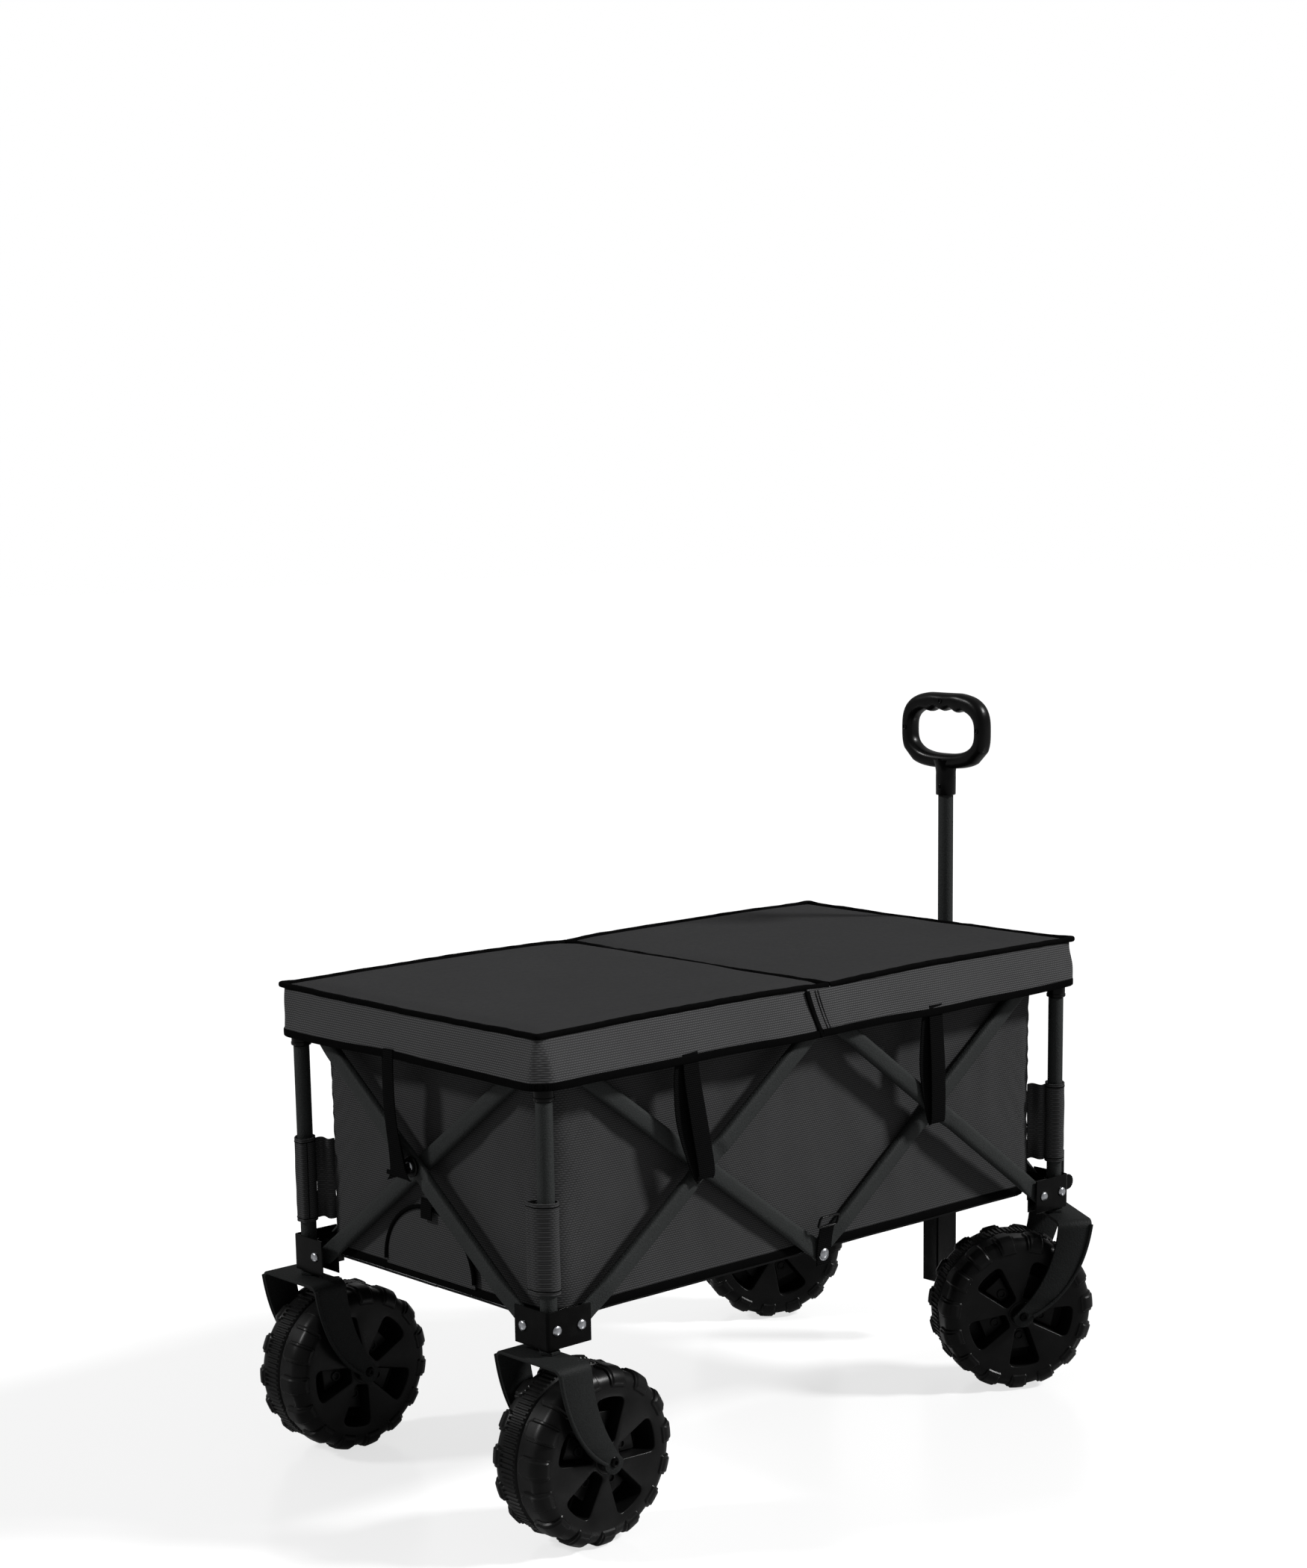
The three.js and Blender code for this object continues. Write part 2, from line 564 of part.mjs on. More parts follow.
function lid() {
  const top = { x: LID_X + GAP + SKIRT, y: LID_Y + GAP + SKIRT, z: LID_TOP };
  const hem = { x: HEM_X, y: HEM_Y, z: HEM_Z };
  const thinner = ({ x, y, z }, dz) => ({ x: x - SKIRT, y: y - SKIRT, z: z + dz });
  const skirt = flaredBlock(hem, top).subtract(flaredBlock(thinner(hem, -0.01), thinner(top, 0.01)));
  const strapTop = HEM_Z + 10;
  const strapX = SIDE_SPAN / 2;
  const half = STRAP_WIDTH / 2;
  for (const [name, s] of [["front", 1], ["rear", -1]]) {
    add(`lid_${name}_panel`, box(s * GAP, s * LID_X, -LID_Y, LID_Y, LID_LOW, LID_TOP), LID_FABRIC);
    let edge = skirt.intersect(box(s * GAP, s * (HEM_X + 1), -HEM_Y - 1, HEM_Y + 1, HEM_Z - 1, LID_TOP + 1));
    for (const side of [-1, 1]) {
      const y = [side * (HEM_Y - 2), side * (HEM_Y + 2)];
      edge = edge.add(box(s * strapX - half, s * strapX + half, y[0], y[1], STRAP_LOW, strapTop));
    }
    if (name === "rear") edge = edge.add(box(-HEM_X - 2, -HEM_X + 2, -half, half, STRAP_LOW, strapTop));
    add(`lid_${name}_skirt`, edge, LID_FABRIC);
  }
}
lid();

// the origin is the middle of the whole wagon's box, on the floor
const middle = new THREE.Box3().setFromObject(wagon, true).getCenter(new THREE.Vector3());
wagon.position.set(-middle.x, -middle.y, 0);

export default wagon;
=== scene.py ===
"""Looks for the folding camp wagon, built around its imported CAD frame.

Metres, in the CAD's frame: +X forwards to the pull handle, +Y to the left, +Z up. Shapes are worked out about
the middle of the four posts, and make() moves them from there to the frame's own origin.
"""

import math

import bmesh
import bpy
import numpy as np
from mathutils import Matrix, Vector, noise
from mathutils.geometry import delaunay_2d_cdt


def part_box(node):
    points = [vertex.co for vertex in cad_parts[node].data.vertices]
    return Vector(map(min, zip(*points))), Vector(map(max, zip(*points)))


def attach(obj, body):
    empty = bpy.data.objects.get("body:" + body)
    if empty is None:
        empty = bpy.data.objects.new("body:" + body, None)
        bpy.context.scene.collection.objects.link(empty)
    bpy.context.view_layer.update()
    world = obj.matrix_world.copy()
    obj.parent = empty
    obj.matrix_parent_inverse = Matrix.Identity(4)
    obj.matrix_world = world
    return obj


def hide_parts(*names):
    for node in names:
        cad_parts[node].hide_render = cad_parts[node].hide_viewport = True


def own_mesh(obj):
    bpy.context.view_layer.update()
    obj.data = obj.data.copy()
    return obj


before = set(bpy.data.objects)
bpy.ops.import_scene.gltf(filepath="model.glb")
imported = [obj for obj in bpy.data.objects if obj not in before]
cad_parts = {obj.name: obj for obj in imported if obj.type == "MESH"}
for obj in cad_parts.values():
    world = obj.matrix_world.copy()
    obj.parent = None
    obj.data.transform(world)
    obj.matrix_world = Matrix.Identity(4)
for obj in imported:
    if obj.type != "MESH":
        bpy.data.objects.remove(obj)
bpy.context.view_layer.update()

# ---- Sizes ----

CORNERS = {"front_right": (1, -1), "front_left": (1, 1), "rear_right": (-1, -1), "rear_left": (-1, 1)}
HANDS = ("right", "left")


def centre(node):
    low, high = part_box(node)
    return (low + high) / 2


def size(node):
    low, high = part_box(node)
    return high - low


def heights(node):
    return tuple(corner.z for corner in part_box(node))


POSTS = {corner: centre(f"{corner}_post") for corner in CORNERS}
MIDDLE = sum(POSTS.values(), Vector()) / 4
MIDDLE.z = 0
POST_X = (POSTS["front_right"].x - POSTS["rear_right"].x) / 2
POST_Y = (POSTS["front_left"].y - POSTS["front_right"].y) / 2
POST_R = size("rear_right_post").x / 2
POST_LOW = heights("rear_right_post")[0]
UPPER_R = size("rear_right_upper_tube").x / 2

# the arms' pivots, from a post along the sides and the ends, and the two layers that the arms lie in
PIVOT_IN_X = 0.035
PIVOT_IN_Y = 0.029
SIDE_SPAN = POST_X - PIVOT_IN_X
END_SPAN = POST_Y - PIVOT_IN_Y
PIVOT_LOW = centre("mid_bottom_rivet_right").z
PIVOT_HIGH = centre("mid_top_rivet_right").z
PIVOT_MID = (PIVOT_LOW + PIVOT_HIGH) / 2
OUTER = 0.0055
INNER = -0.0055

WHEEL_R = centre("rear_right_wheel").z
WHEEL_HALF = size("rear_right_wheel").y / 2
NUT_HIGH = 0.0067
FORK_TOP = heights("front_left_fork")[1] - NUT_HIGH
FORK_HALF = 0.055
FORK_THICK = 0.004
CASTER_TRAIL = 0.058
CASTER_YAW = -30
REAR_AXLE_IN = 0.044

BRACKET_LOW, BRACKET_HIGH = heights("rear_right_bracket")
PLATE_OUT = 0.011
PLATE = 0.002

HANDLE_X = centre("handle_upper_tube").x - MIDDLE.x
COLLAR_LOW, GRIP_TOP = heights("handle_grip")
CHANNEL_LOW, CHANNEL_HIGH = heights("handle_channel")

TUB_X = size("tub_right_wall").x / 2
TUB_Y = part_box("tub_left_wall")[1].y - MIDDLE.y
TUB_LOW, TUB_HIGH = heights("tub_right_wall")
TUB_CORNER = 0.036

LID_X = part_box("lid_front_panel")[1].x - MIDDLE.x
LID_Y = size("lid_front_panel").y / 2
LID_LOW, LID_TOP = heights("lid_front_panel")
HEM_Z = 0.52
HEM_X = 0.449
HEM_Y = 0.246
STRAP_LOW = heights("lid_front_skirt")[0]


# ---- Meshes ----


def make(name, part, finish, body, replaces=(), smooth=None):
    """A piece from (points, faces) that rides on a CAD body. smooth is the sharpest angle shaded as round."""
    points, faces = part
    material, slot, usual_smooth = finish
    mesh = bpy.data.meshes.new(name)
    mesh.from_pydata((np.asarray(points, float) + np.array(MIDDLE)).tolist(), [], faces)
    work = bmesh.new()
    work.from_mesh(mesh)
    bmesh.ops.recalc_face_normals(work, faces=work.faces)
    work.to_mesh(mesh)
    work.free()
    mesh.polygons.foreach_set("use_smooth", [True] * len(mesh.polygons))
    mesh.set_sharp_from_angle(angle=math.radians(smooth or usual_smooth))
    mesh.materials.append(material)
    piece = bpy.data.objects.new(name, mesh)
    bpy.context.scene.collection.objects.link(piece)
    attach(piece, body)
    if replaces:
        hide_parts(*replaces)
    return piece


def together(*parts):
    """Several (points, faces) as one."""
    points, faces, start = [], [], 0
    for part_points, part_faces in parts:
        points.append(np.asarray(part_points, float).reshape(-1, 3))
        faces += [tuple(start + i for i in face) for face in part_faces]
        start += len(points[-1])
    return np.concatenate(points), faces


def moved(part, turn=None, by=(0, 0, 0)):
    """A (points, faces) turned by a 3x3 matrix and then moved."""
    points, faces = part
    points = np.asarray(points, float)
    if turn is not None:
        points = points @ np.array(turn).T
    return points + np.array(by), faces


def laid(part, order, signs=(1, 1, 1), by=(0, 0, 0)):
    """A (points, faces) with its axes taken in another order, such as "xzy", then mirrored and moved."""
    points, faces = part
    return points[:, ["xyz".index(axis) for axis in order]] * signs + np.array(by), faces


def flipped(faces):
    return [face[::-1] for face in faces]


def quarter(steps):
    """The angles of a quarter turn, in equal steps."""
    return [math.pi / 2 * k / steps for k in range(steps + 1)]


def full_turn(count):
    return np.linspace(0, 2 * math.pi, count, endpoint=False)


def at_height(outline, z):
    """An outline of (x, y) points as points at height z."""
    return np.column_stack([outline, np.full(len(outline), z)])


def grid_of(x, y, z):
    """A grid of points from coordinates given by row, by column or as one value."""
    return np.stack(np.broadcast_arrays(x, y, z), -1).astype(float)


def skin(rings, closed=False, caps=True):
    """Faces over a row of rings with equally many points. A closed row is a loop."""
    rings = [np.asarray(ring, float) for ring in rings]
    count, around = len(rings), len(rings[0])
    faces = []
    for i in range(count if closed else count - 1):
        a, b = i * around, (i + 1) % count * around
        faces += [(a + j, a + (j + 1) % around, b + (j + 1) % around, b + j) for j in range(around)]
    if caps and not closed:
        faces += [tuple(range(around))[::-1], tuple(range((count - 1) * around, count * around))]
    return np.concatenate(rings), faces


def turned(outline, sides=48, caps=True):
    """Spins (radius, height) points about the Z axis."""
    circle = np.stack([np.cos(full_turn(sides)), np.sin(full_turn(sides))], 1)
    return skin([at_height(r * circle, z) for r, z in outline], caps=caps)


def rounded_bar(radius, low, high, edge=0.0008):
    """A round bar along Z with softened ends."""
    bottom = [(radius - edge + edge * math.sin(a), low + edge - edge * math.cos(a)) for a in quarter(4)]
    top = [(radius - edge + edge * math.cos(a), high - edge + edge * math.sin(a)) for a in quarter(4)]
    return turned(bottom + top)


def oval(half_wide, half_high, power=2.0, count=24):
    """A closed outline of (side, up) points: 2 is an ellipse, and more is squarer."""
    cos, sin = np.cos(full_turn(count)), np.sin(full_turn(count))
    side = half_wide * np.sign(cos) * np.abs(cos) ** (2 / power)
    up = half_high * np.sign(sin) * np.abs(sin) ** (2 / power)
    return np.stack([side, up], 1)


def swept(path, outline, up=(0, 0, 1), closed=False):
    """Carries an outline of (side, up) points along a path. It may be a function of the point's number."""
    path = np.asarray(path, float)
    along = np.roll(path, -1, 0) - np.roll(path, 1, 0) if closed else np.gradient(path, axis=0)
    along /= np.linalg.norm(along, axis=1)[:, None]
    side = np.cross(along, np.broadcast_to(np.asarray(up, float), path.shape))
    side /= np.linalg.norm(side, axis=1)[:, None]
    over = np.cross(side, along)
    rings = []
    for i, point in enumerate(path):
        ring = outline(i) if callable(outline) else outline
        rings.append(point + ring[:, :1] * side[i] + ring[:, 1:] * over[i])
    return skin(rings, closed=closed)


def thick_faces(rows, columns, wrap=False):
    """Faces of a closed sheet, from the points of its front and then of its back, both by row and column."""
    total = rows * columns
    last = columns if wrap else columns - 1
    faces = []
    for i in range(rows - 1):
        for j in range(last):
            a, b = i * columns + j, i * columns + (j + 1) % columns
            front = (a, b, b + columns, a + columns)
            faces += [front, tuple(total + k for k in front[::-1])]
    top = total - columns
    rim = [((j + 1) % columns, j) for j in range(last)]
    rim += [(top + j, top + (j + 1) % columns) for j in range(last)]
    if not wrap:
        rim += [(i, i + columns) for i in range(0, top, columns)]
        rim += [(i + columns, i) for i in range(columns - 1, total - 1, columns)]
    return faces + [(a, b, total + b, total + a) for a, b in rim]


def thick_sheet(grid, thickness, wrap=False):
    """A closed sheet about a grid of points [row][column]. wrap joins the last column to the first."""
    down = np.gradient(grid, axis=0)
    across = np.roll(grid, -1, 1) - np.roll(grid, 1, 1) if wrap else np.gradient(grid, axis=1)
    normal = np.cross(across, down)
    normal /= np.maximum(np.linalg.norm(normal, axis=2), 1e-12)[:, :, None]
    sheets = [grid + normal * thickness / 2, grid - normal * thickness / 2]
    return np.concatenate([sheet.reshape(-1, 3) for sheet in sheets]), thick_faces(*grid.shape[:2], wrap)


def outward_normals(outline):
    """Unit normals of a closed anticlockwise outline of 2-D points."""
    along = np.roll(outline, -1, 0) - np.roll(outline, 1, 0)
    normal = np.stack([along[:, 1], -along[:, 0]], 1)
    return normal / np.maximum(np.linalg.norm(normal, axis=1), 1e-12)[:, None]


def across_path(path):
    """Unit normals of an open path of 2-D points, to its right."""
    along = np.gradient(path, axis=0)
    normal = np.stack([along[:, 1], -along[:, 0]], 1)
    return normal / np.linalg.norm(normal, axis=1)[:, None]


def stacked(outline, levels):
    """A closed shape from one outline at several (inset, height) levels."""
    normal = outward_normals(outline)
    return skin([at_height(outline - normal * inset, z) for inset, z in levels])


def plate(outline, low, high, edge=0.0008, steps=3):
    """An outline of (x, y) points extruded along Z, with rounded edges."""
    levels = [(edge * (1 - math.sin(a)), low + edge * (1 - math.cos(a))) for a in quarter(steps)]
    levels += [(edge * (1 - math.cos(a)), high - edge * (1 - math.sin(a))) for a in quarter(steps)]
    return stacked(np.asarray(outline, float), levels)


def rounded_rectangle(half_x, half_y, radius, steps=8):
    """An anticlockwise outline."""
    points = []
    for k, (sx, sy) in enumerate([(1, 1), (-1, 1), (-1, -1), (1, -1)]):
        points += arc((sx * (half_x - radius), sy * (half_y - radius)), radius, 90 * k, 90 * (k + 1), steps)
    return np.array(points)


def rounded_box(x, y, z, edge):
    """A box between pairs of limits, with rounded upright edges and softened top and bottom."""
    outline = rounded_rectangle((x[1] - x[0]) / 2, (y[1] - y[0]) / 2, max(edge * 1.5, 0.0012), 5)
    return moved(plate(outline, *z, edge), by=((x[0] + x[1]) / 2, (y[0] + y[1]) / 2, 0))


def arc(middle, radius, start, end, steps=10):
    """Points of an arc, in degrees."""
    turn = [math.radians(start + (end - start) * k / steps) for k in range(steps + 1)]
    return [(middle[0] + radius * math.cos(a), middle[1] + radius * math.sin(a)) for a in turn]


def bezier(a, b, c, t):
    """Points on a quadratic curve."""
    return (1 - t) ** 2 * a + 2 * t * (1 - t) * b + t * t * c


def spline(points, steps):
    """A smooth curve through points, as that many points."""
    points = np.asarray(points, float)
    padded = np.concatenate([[2 * points[0] - points[1]], points, [2 * points[-1] - points[-2]]])
    curve = []
    spans = len(points) - 1
    for t in np.linspace(0, spans, steps):
        i = min(int(t), spans - 1)
        u = t - i
        a, b, c, d = padded[i : i + 4]
        bend = (2 * a - 5 * b + 4 * c - d) * u * u + (3 * b - a - 3 * c + d) * u**3
        curve.append(b + 0.5 * ((c - a) * u + bend))
    return np.array(curve)


def turn_about(axis, degrees):
    return np.array(Matrix.Rotation(math.radians(degrees), 3, axis))


def smoothstep(low, high, x):
    t = np.clip((np.asarray(x, float) - low) / (high - low), 0, 1)
    return t * t * (3 - 2 * t)


def ripple(points, scale, seed):
    """Smooth noise from -1 to 1 at each point, the same on every run."""
    flat = points.reshape(-1, 3) * scale + seed
    return np.array([noise.noise(Vector(p)) for p in flat]).reshape(points.shape[:-1])


# ---- Materials ----


class Look:
    """A Principled material and short names for the nodes that it is built from."""

    def __init__(self, name, colour, roughness, **sockets):
        self.material = bpy.data.materials.new(name)
        self.material.use_nodes = True
        self.tree = self.material.node_tree
        self.shader = self.tree.nodes["Principled BSDF"]
        self.set("Base Color", (*colour, 1))
        self.set("Roughness", roughness)
        for socket, value in sockets.items():
            self.set(socket.replace("_", " ").title().replace("Ior", "IOR"), value)
        self.place = self.tree.nodes.new("ShaderNodeTexCoord").outputs["Object"]

    def put(self, target, value):
        """Links or sets a socket, whichever the value is for. A colour may leave out its alpha."""
        if isinstance(value, bpy.types.NodeSocket):
            self.tree.links.new(value, target)
        else:
            target.default_value = (*value, 1) if isinstance(value, tuple) and len(value) == 3 else value

    def set(self, socket, value):
        self.put(self.shader.inputs[socket], value)

    def node(self, kind, inputs=(), **settings):
        made = self.tree.nodes.new("ShaderNode" + kind)
        for key, value in settings.items():
            setattr(made, key, value)
        for key, value in dict(inputs).items():
            self.put(made.inputs[key], value)
        return made

    def math(self, operation, a, b=0.0, c=0.0):
        return self.node("Math", {0: a, 1: b, 2: c}, operation=operation).outputs[0]

    def noise(self, scale, detail=2.0, roughness=0.5):
        inputs = {"Vector": self.place, "Scale": scale, "Detail": detail, "Roughness": roughness}
        return self.node("TexNoise", inputs).outputs["Fac"]

    def cells(self, scale):
        inputs = {"Vector": self.place, "Scale": scale}
        return self.node("TexVoronoi", inputs, feature="SMOOTH_F1").outputs["Distance"]

    def ranged(self, value, low, high, to_low, to_high):
        inputs = {"Value": value, "From Min": low, "From Max": high, "To Min": to_low, "To Max": to_high}
        return self.node("MapRange", inputs).outputs["Result"]

    def blend(self, share, a, b):
        mix = self.node("Mix", {"Factor": share}, data_type="RGBA")
        for socket, value in (("A", a), ("B", b)):
            self.put([s for s in mix.inputs if s.name == socket and s.type == "RGBA"][0], value)
        return [s for s in mix.outputs if s.type == "RGBA"][0]

    def bump(self, height, distance, strength, normal=None):
        inputs = {"Height": height, "Distance": distance, "Strength": strength}
        if normal is not None:
            inputs["Normal"] = normal
        return self.node("Bump", inputs).outputs["Normal"]


def shade(value, tint=(1.0, 1.0, 1.0)):
    return tuple(value * t for t in tint)


COOL = (0.93, 1.0, 0.99)
NEUTRAL = (1.0, 1.0, 1.02)
# most values of a noise lie between these
NOISE_RANGE = (0.3, 0.7)


def powder_coat(name, dark, light):
    look = Look(name, shade(light, COOL), 0.6, specular_ior_level=0.2, ior=1.3)
    pebbles = look.cells(620)
    speckle = look.noise(1500, 3, 0.7)
    wear = look.noise(22, 3)
    base = look.blend(look.ranged(speckle, 0.35, 0.7, 0, 1), shade(dark, COOL), shade(light, COOL))
    look.set("Base Color", look.blend(look.ranged(wear, 0.3, 0.75, 0, 0.35), base, shade(light * 0.45, COOL)))
    look.set("Roughness", look.ranged(speckle, 0.3, 0.75, 0.5, 0.74))
    look.set("Normal", look.bump(pebbles, 0.0005, 0.7, look.bump(speckle, 0.00025, 0.6)))
    return look.material


def black_steel():
    look = Look("black_steel", shade(0.002, NEUTRAL), 0.3, specular_ior_level=0.12, ior=1.3)
    grime = look.noise(60, 4)
    look.set("Roughness", look.ranged(grime, *NOISE_RANGE, 0.14, 0.26))
    look.set("Base Color", look.blend(look.ranged(grime, 0.45, 0.75, 0, 1), shade(0.0012), shade(0.003)))
    look.set("Normal", look.bump(look.noise(450, 2), 0.00008, 0.5))
    return look.material


def bright_steel():
    look = Look("bright_steel", (0.4, 0.41, 0.43), 0.22, metallic=1.0)
    haze = look.noise(500, 3)
    look.set("Roughness", look.ranged(haze, *NOISE_RANGE, 0.16, 0.34))
    look.set("Normal", look.bump(haze, 0.00005, 0.4))
    return look.material


def moulded(name, colour, low, high, grain):
    """Black moulded plastic, satin, with the faint orange peel of a mould."""
    look = Look(name, shade(colour, NEUTRAL), (low + high) / 2, specular_ior_level=0.2, ior=1.35)
    cloud = look.noise(35, 4)
    look.set("Roughness", look.ranged(cloud, *NOISE_RANGE, low, high))
    look.set("Base Color", look.blend(look.ranged(cloud, 0.4, 0.8, 0, 1), shade(colour), shade(colour * 1.7)))
    peel = look.noise(grain, 2)
    look.set("Normal", look.bump(peel, 0.00012, 0.35, look.bump(look.noise(90, 2), 0.0004, 0.25)))
    return look.material


def woven(name, dark, light, pitch, ribs, rib_highlight, crumple):
    """Ribbed cloth, painted lighter on its ribs and darker between them as highlight and shade. ribs names
    the directions across and along the ribs: X, Y, Z, or R for X plus Y.
    """
    look = Look(name, shade(light, NEUTRAL), 0.85, specular_ior_level=0.06, ior=1.2)
    axes = look.node("SeparateXYZ", {"Vector": look.place}).outputs

    def distance(axis):
        return look.math("ADD", axes["X"], axes["Y"]) if axis == "R" else axes[axis]

    rows = look.math("DIVIDE", distance(ribs[0]), pitch)
    rib = look.math("ABSOLUTE", look.math("SINE", look.math("MULTIPLY", rows, math.pi)))
    row_shift = look.math("MULTIPLY", look.math("FLOOR", rows), 0.5)
    column = look.math("ADD", look.math("DIVIDE", distance(ribs[1]), pitch * 1.35), row_shift)
    stitch = look.math("ABSOLUTE", look.math("SINE", look.math("MULTIPLY", column, math.pi)))
    thread = look.math("MULTIPLY", rib, look.math("MULTIPLY_ADD", stitch, 0.55, 0.45))
    patches = look.noise(9, 4)
    slub = look.noise(160, 2)
    # painted highlight and shade: the colour is lighter where the threads stand up and darker between them
    lit = look.ranged(thread, 0.1, 0.95, 0, rib_highlight)
    weave = look.blend(lit, shade(dark, NEUTRAL), shade(light, NEUTRAL))
    cloud = look.ranged(patches, *NOISE_RANGE, 0, 0.35)
    look.set("Base Color", look.blend(cloud, weave, shade((dark + light) / 2.6, NEUTRAL)))
    look.set("Roughness", look.ranged(slub, *NOISE_RANGE, 0.78, 0.94))
    folds = look.bump(look.noise(28, 3, 0.45), crumple, 0.35)
    look.set("Normal", look.bump(thread, pitch * 0.16, 0.6, look.bump(slub, 0.0002, 0.35, folds)))
    return look.material


def silver_liner():
    look = Look("silver_liner", (0.55, 0.56, 0.58), 0.34, metallic=0.85)
    crease = look.noise(34, 5, 0.6)
    look.set("Roughness", look.ranged(crease, *NOISE_RANGE, 0.26, 0.46))
    # painted shade and light: the liner is darker in the hollows of its creases and lighter on their crests
    crease_shade, crest_light = (0.42, 0.43, 0.45), (0.66, 0.67, 0.69)
    look.set("Base Color", look.blend(look.ranged(crease, 0.35, 0.7, 0, 1), crease_shade, crest_light))
    look.set("Normal", look.bump(crease, 0.006, 0.7, look.bump(look.cells(60), 0.002, 0.4)))
    return look.material


def hard(material, slot):
    """A finish: the material, its slot in the record, and the sharpest angle that is shaded as round."""
    return material, slot, 35


def cloth_finish(name, *weave):
    """A cloth's finish. It gives no slot."""
    return woven(name, *weave), None, 60


POWDER = hard(powder_coat("powder_coat", 0.009, 0.038), "powder_coat")
# painted shade: the forks take a darker copy of the powder coat
SHADED_FORK_COAT = hard(powder_coat("shaded_fork_coat", 0.004, 0.019), "powder_coat")
BLACK_STEEL = hard(black_steel(), "black_steel")
BRIGHT = hard(bright_steel(), "bright_steel")
WHEEL_BLACK = hard(moulded("wheel_plastic", 0.0036, 0.26, 0.4, 700), "wheel_plastic")
GRIP_BLACK = hard(moulded("grip_plastic", 0.0015, 0.24, 0.36, 500), "black_plastic")
TUB_CLOTH = cloth_finish("tub_cloth", 0.016, 0.068, 0.0026, "ZR", 0.75, 0.003)
# painted light: the skirt takes a lighter copy of the tub's cloth
LIT_SKIRT_CLOTH = cloth_finish("lit_skirt_cloth", 0.020, 0.096, 0.0026, "ZR", 0.75, 0.002)
# painted shade: the lid's top takes a darker copy of the cloth, against the light of both suns on it
SHADED_TOP_CLOTH = cloth_finish("shaded_top_cloth", 0.016, 0.042, 0.0011, "XY", 0.8, 0.002)
FLOOR_CLOTH = cloth_finish("floor_cloth", 0.015, 0.05, 0.0014, "XY", 0.8, 0.002)
BINDING = cloth_finish("binding", 0.0006, 0.0034, 0.0012, "RZ", 0.8, 0.0008)
WEBBING = cloth_finish("webbing", 0.0005, 0.0065, 0.0024, "ZR", 0.9, 0.0004)
LINER = (silver_liner(), None, 60)


# ---- Frame sides ----


def on_side(side, part):
    """Points drawn as (along, outwards, up) on a side, with outwards 0 in the plane of its posts."""
    turns = {"right": (0, POST_Y), "front": (90, POST_X), "left": (180, POST_Y), "rear": (-90, POST_X)}
    degrees, distance = turns[side]
    points, faces = part
    return moved((points * [1, -1, 1] - [0, distance, 0], flipped(faces)), turn_about("Z", degrees))


# ---- Arms ----

ARM_HALF = 0.0105
ARM_END = 0.011
ARM_THICK = 0.0064
ARM_FLAT = 0.0026
PINCHED = 0.0046
MID_FLAT = 0.002
BOW_OUT = 0.0016


def arm_tube(start, end, layer, start_at=None, end_at=None, start_flat=ARM_FLAT, end_flat=ARM_FLAT):
    """A flat-oval tube between two (along, up) pivots, pinched at the crossing and flattened at both ends.

    layer is its middle's depth outwards. start_at and end_at are its depths at the ends, where those differ.
    """
    start, end = np.array(start), np.array(end)
    length = np.linalg.norm(end - start)
    start_at = layer if start_at is None else start_at
    end_at = layer if end_at is None else end_at
    tip = [ARM_END * -math.cos(a) for a in quarter(7)[1:]]
    stations = np.array([*tip, *np.linspace(0, length, 141)[1:-1], *[length - c for c in tip[::-1]]])
    along = (end - start) / length
    up = np.array([-along[1], along[0]])
    rings = []
    for s in stations:
        near_start = 1 - smoothstep(0.016, 0.062, s)
        near_end = 1 - smoothstep(0.016, 0.062, length - s)
        near_middle = 1 - smoothstep(0.019, 0.033, abs(s - length / 2))
        flat = max(near_start, near_end)
        thick = ARM_THICK + near_start * (start_flat - ARM_THICK) + near_end * (end_flat - ARM_THICK)
        thick += near_middle * (PINCHED - ARM_THICK)
        depth = layer + math.copysign(BOW_OUT, layer) * (1 - max(flat, near_middle))
        depth += near_start * (start_at - layer) + near_end * (end_at - layer)
        half = ARM_HALF + (ARM_END - ARM_HALF) * flat + 0.0006 * near_middle
        over = max(-s, s - length)
        if over > 0:
            half = math.sqrt(max(ARM_END**2 - over**2, 1e-8))
            thick *= 0.35 + 0.65 * math.sqrt(max(1 - (over / ARM_END) ** 2, 0))
        middle = start + along * s
        outline = oval(half, thick, 3.0 + 1.2 * flat, 32)
        flat_ring = middle + outline[:, :1] * up
        rings.append(np.column_stack([flat_ring[:, 0], depth + outline[:, 1], flat_ring[:, 1]]))
    return skin(rings)


def rivet_head(at=(0, 0, 0), radius=0.0062, rise=0.0028, washer=0.0):
    """A domed head standing outwards from (along, outwards, up), with an optional washer under it."""
    foot = 0.0006
    outline = [(radius * 0.98, -0.001), (radius, 0.0)]
    if washer:
        outline = [(washer, -0.001), (washer, 0.0), (washer - 0.0004, 0.0004), (radius, 0.0005)]
    outline += [(radius * math.cos(a), foot + rise * math.sin(a)) for a in quarter(7)[:-1]]
    return laid(turned([*outline, (0.0003, foot + rise)], 28), "xzy", by=at)


def rivet(name, side, body, at, replaces=(), **shape):
    make(name, on_side(side, rivet_head(at, **shape)), BRIGHT, body, replaces)


def crossed_arms(side, name, inner, outer):
    for layer, tube in (("inner", inner), ("outer", outer)):
        node = f"{name}_{layer}"
        make(f"{node}_tube", on_side(side, tube), POWDER, node, [f"{node}_arm"])


def long_side(hand, near, far):
    """The four arms of a long side, which meet at its middle. near is the end at negative distances."""
    lap = 0.0023
    for end, s in ((near, -1), (far, 1)):
        name = f"{end}_{hand}"
        low, high = (0, PIVOT_LOW), (0, PIVOT_HIGH)
        corner_low, corner_high = (s * SIDE_SPAN, PIVOT_LOW), (s * SIDE_SPAN, PIVOT_HIGH)
        inner = arm_tube(low, corner_high, INNER, start_at=INNER - s * lap, start_flat=MID_FLAT)
        outer = arm_tube(corner_low, high, OUTER, end_at=OUTER - s * lap, end_flat=MID_FLAT)
        crossed_arms(hand, name, inner, outer)
        rivet(f"{name}_cross_rivet", hand, f"{name}_inner", (s * SIDE_SPAN / 2, 0.0101, PIVOT_MID))


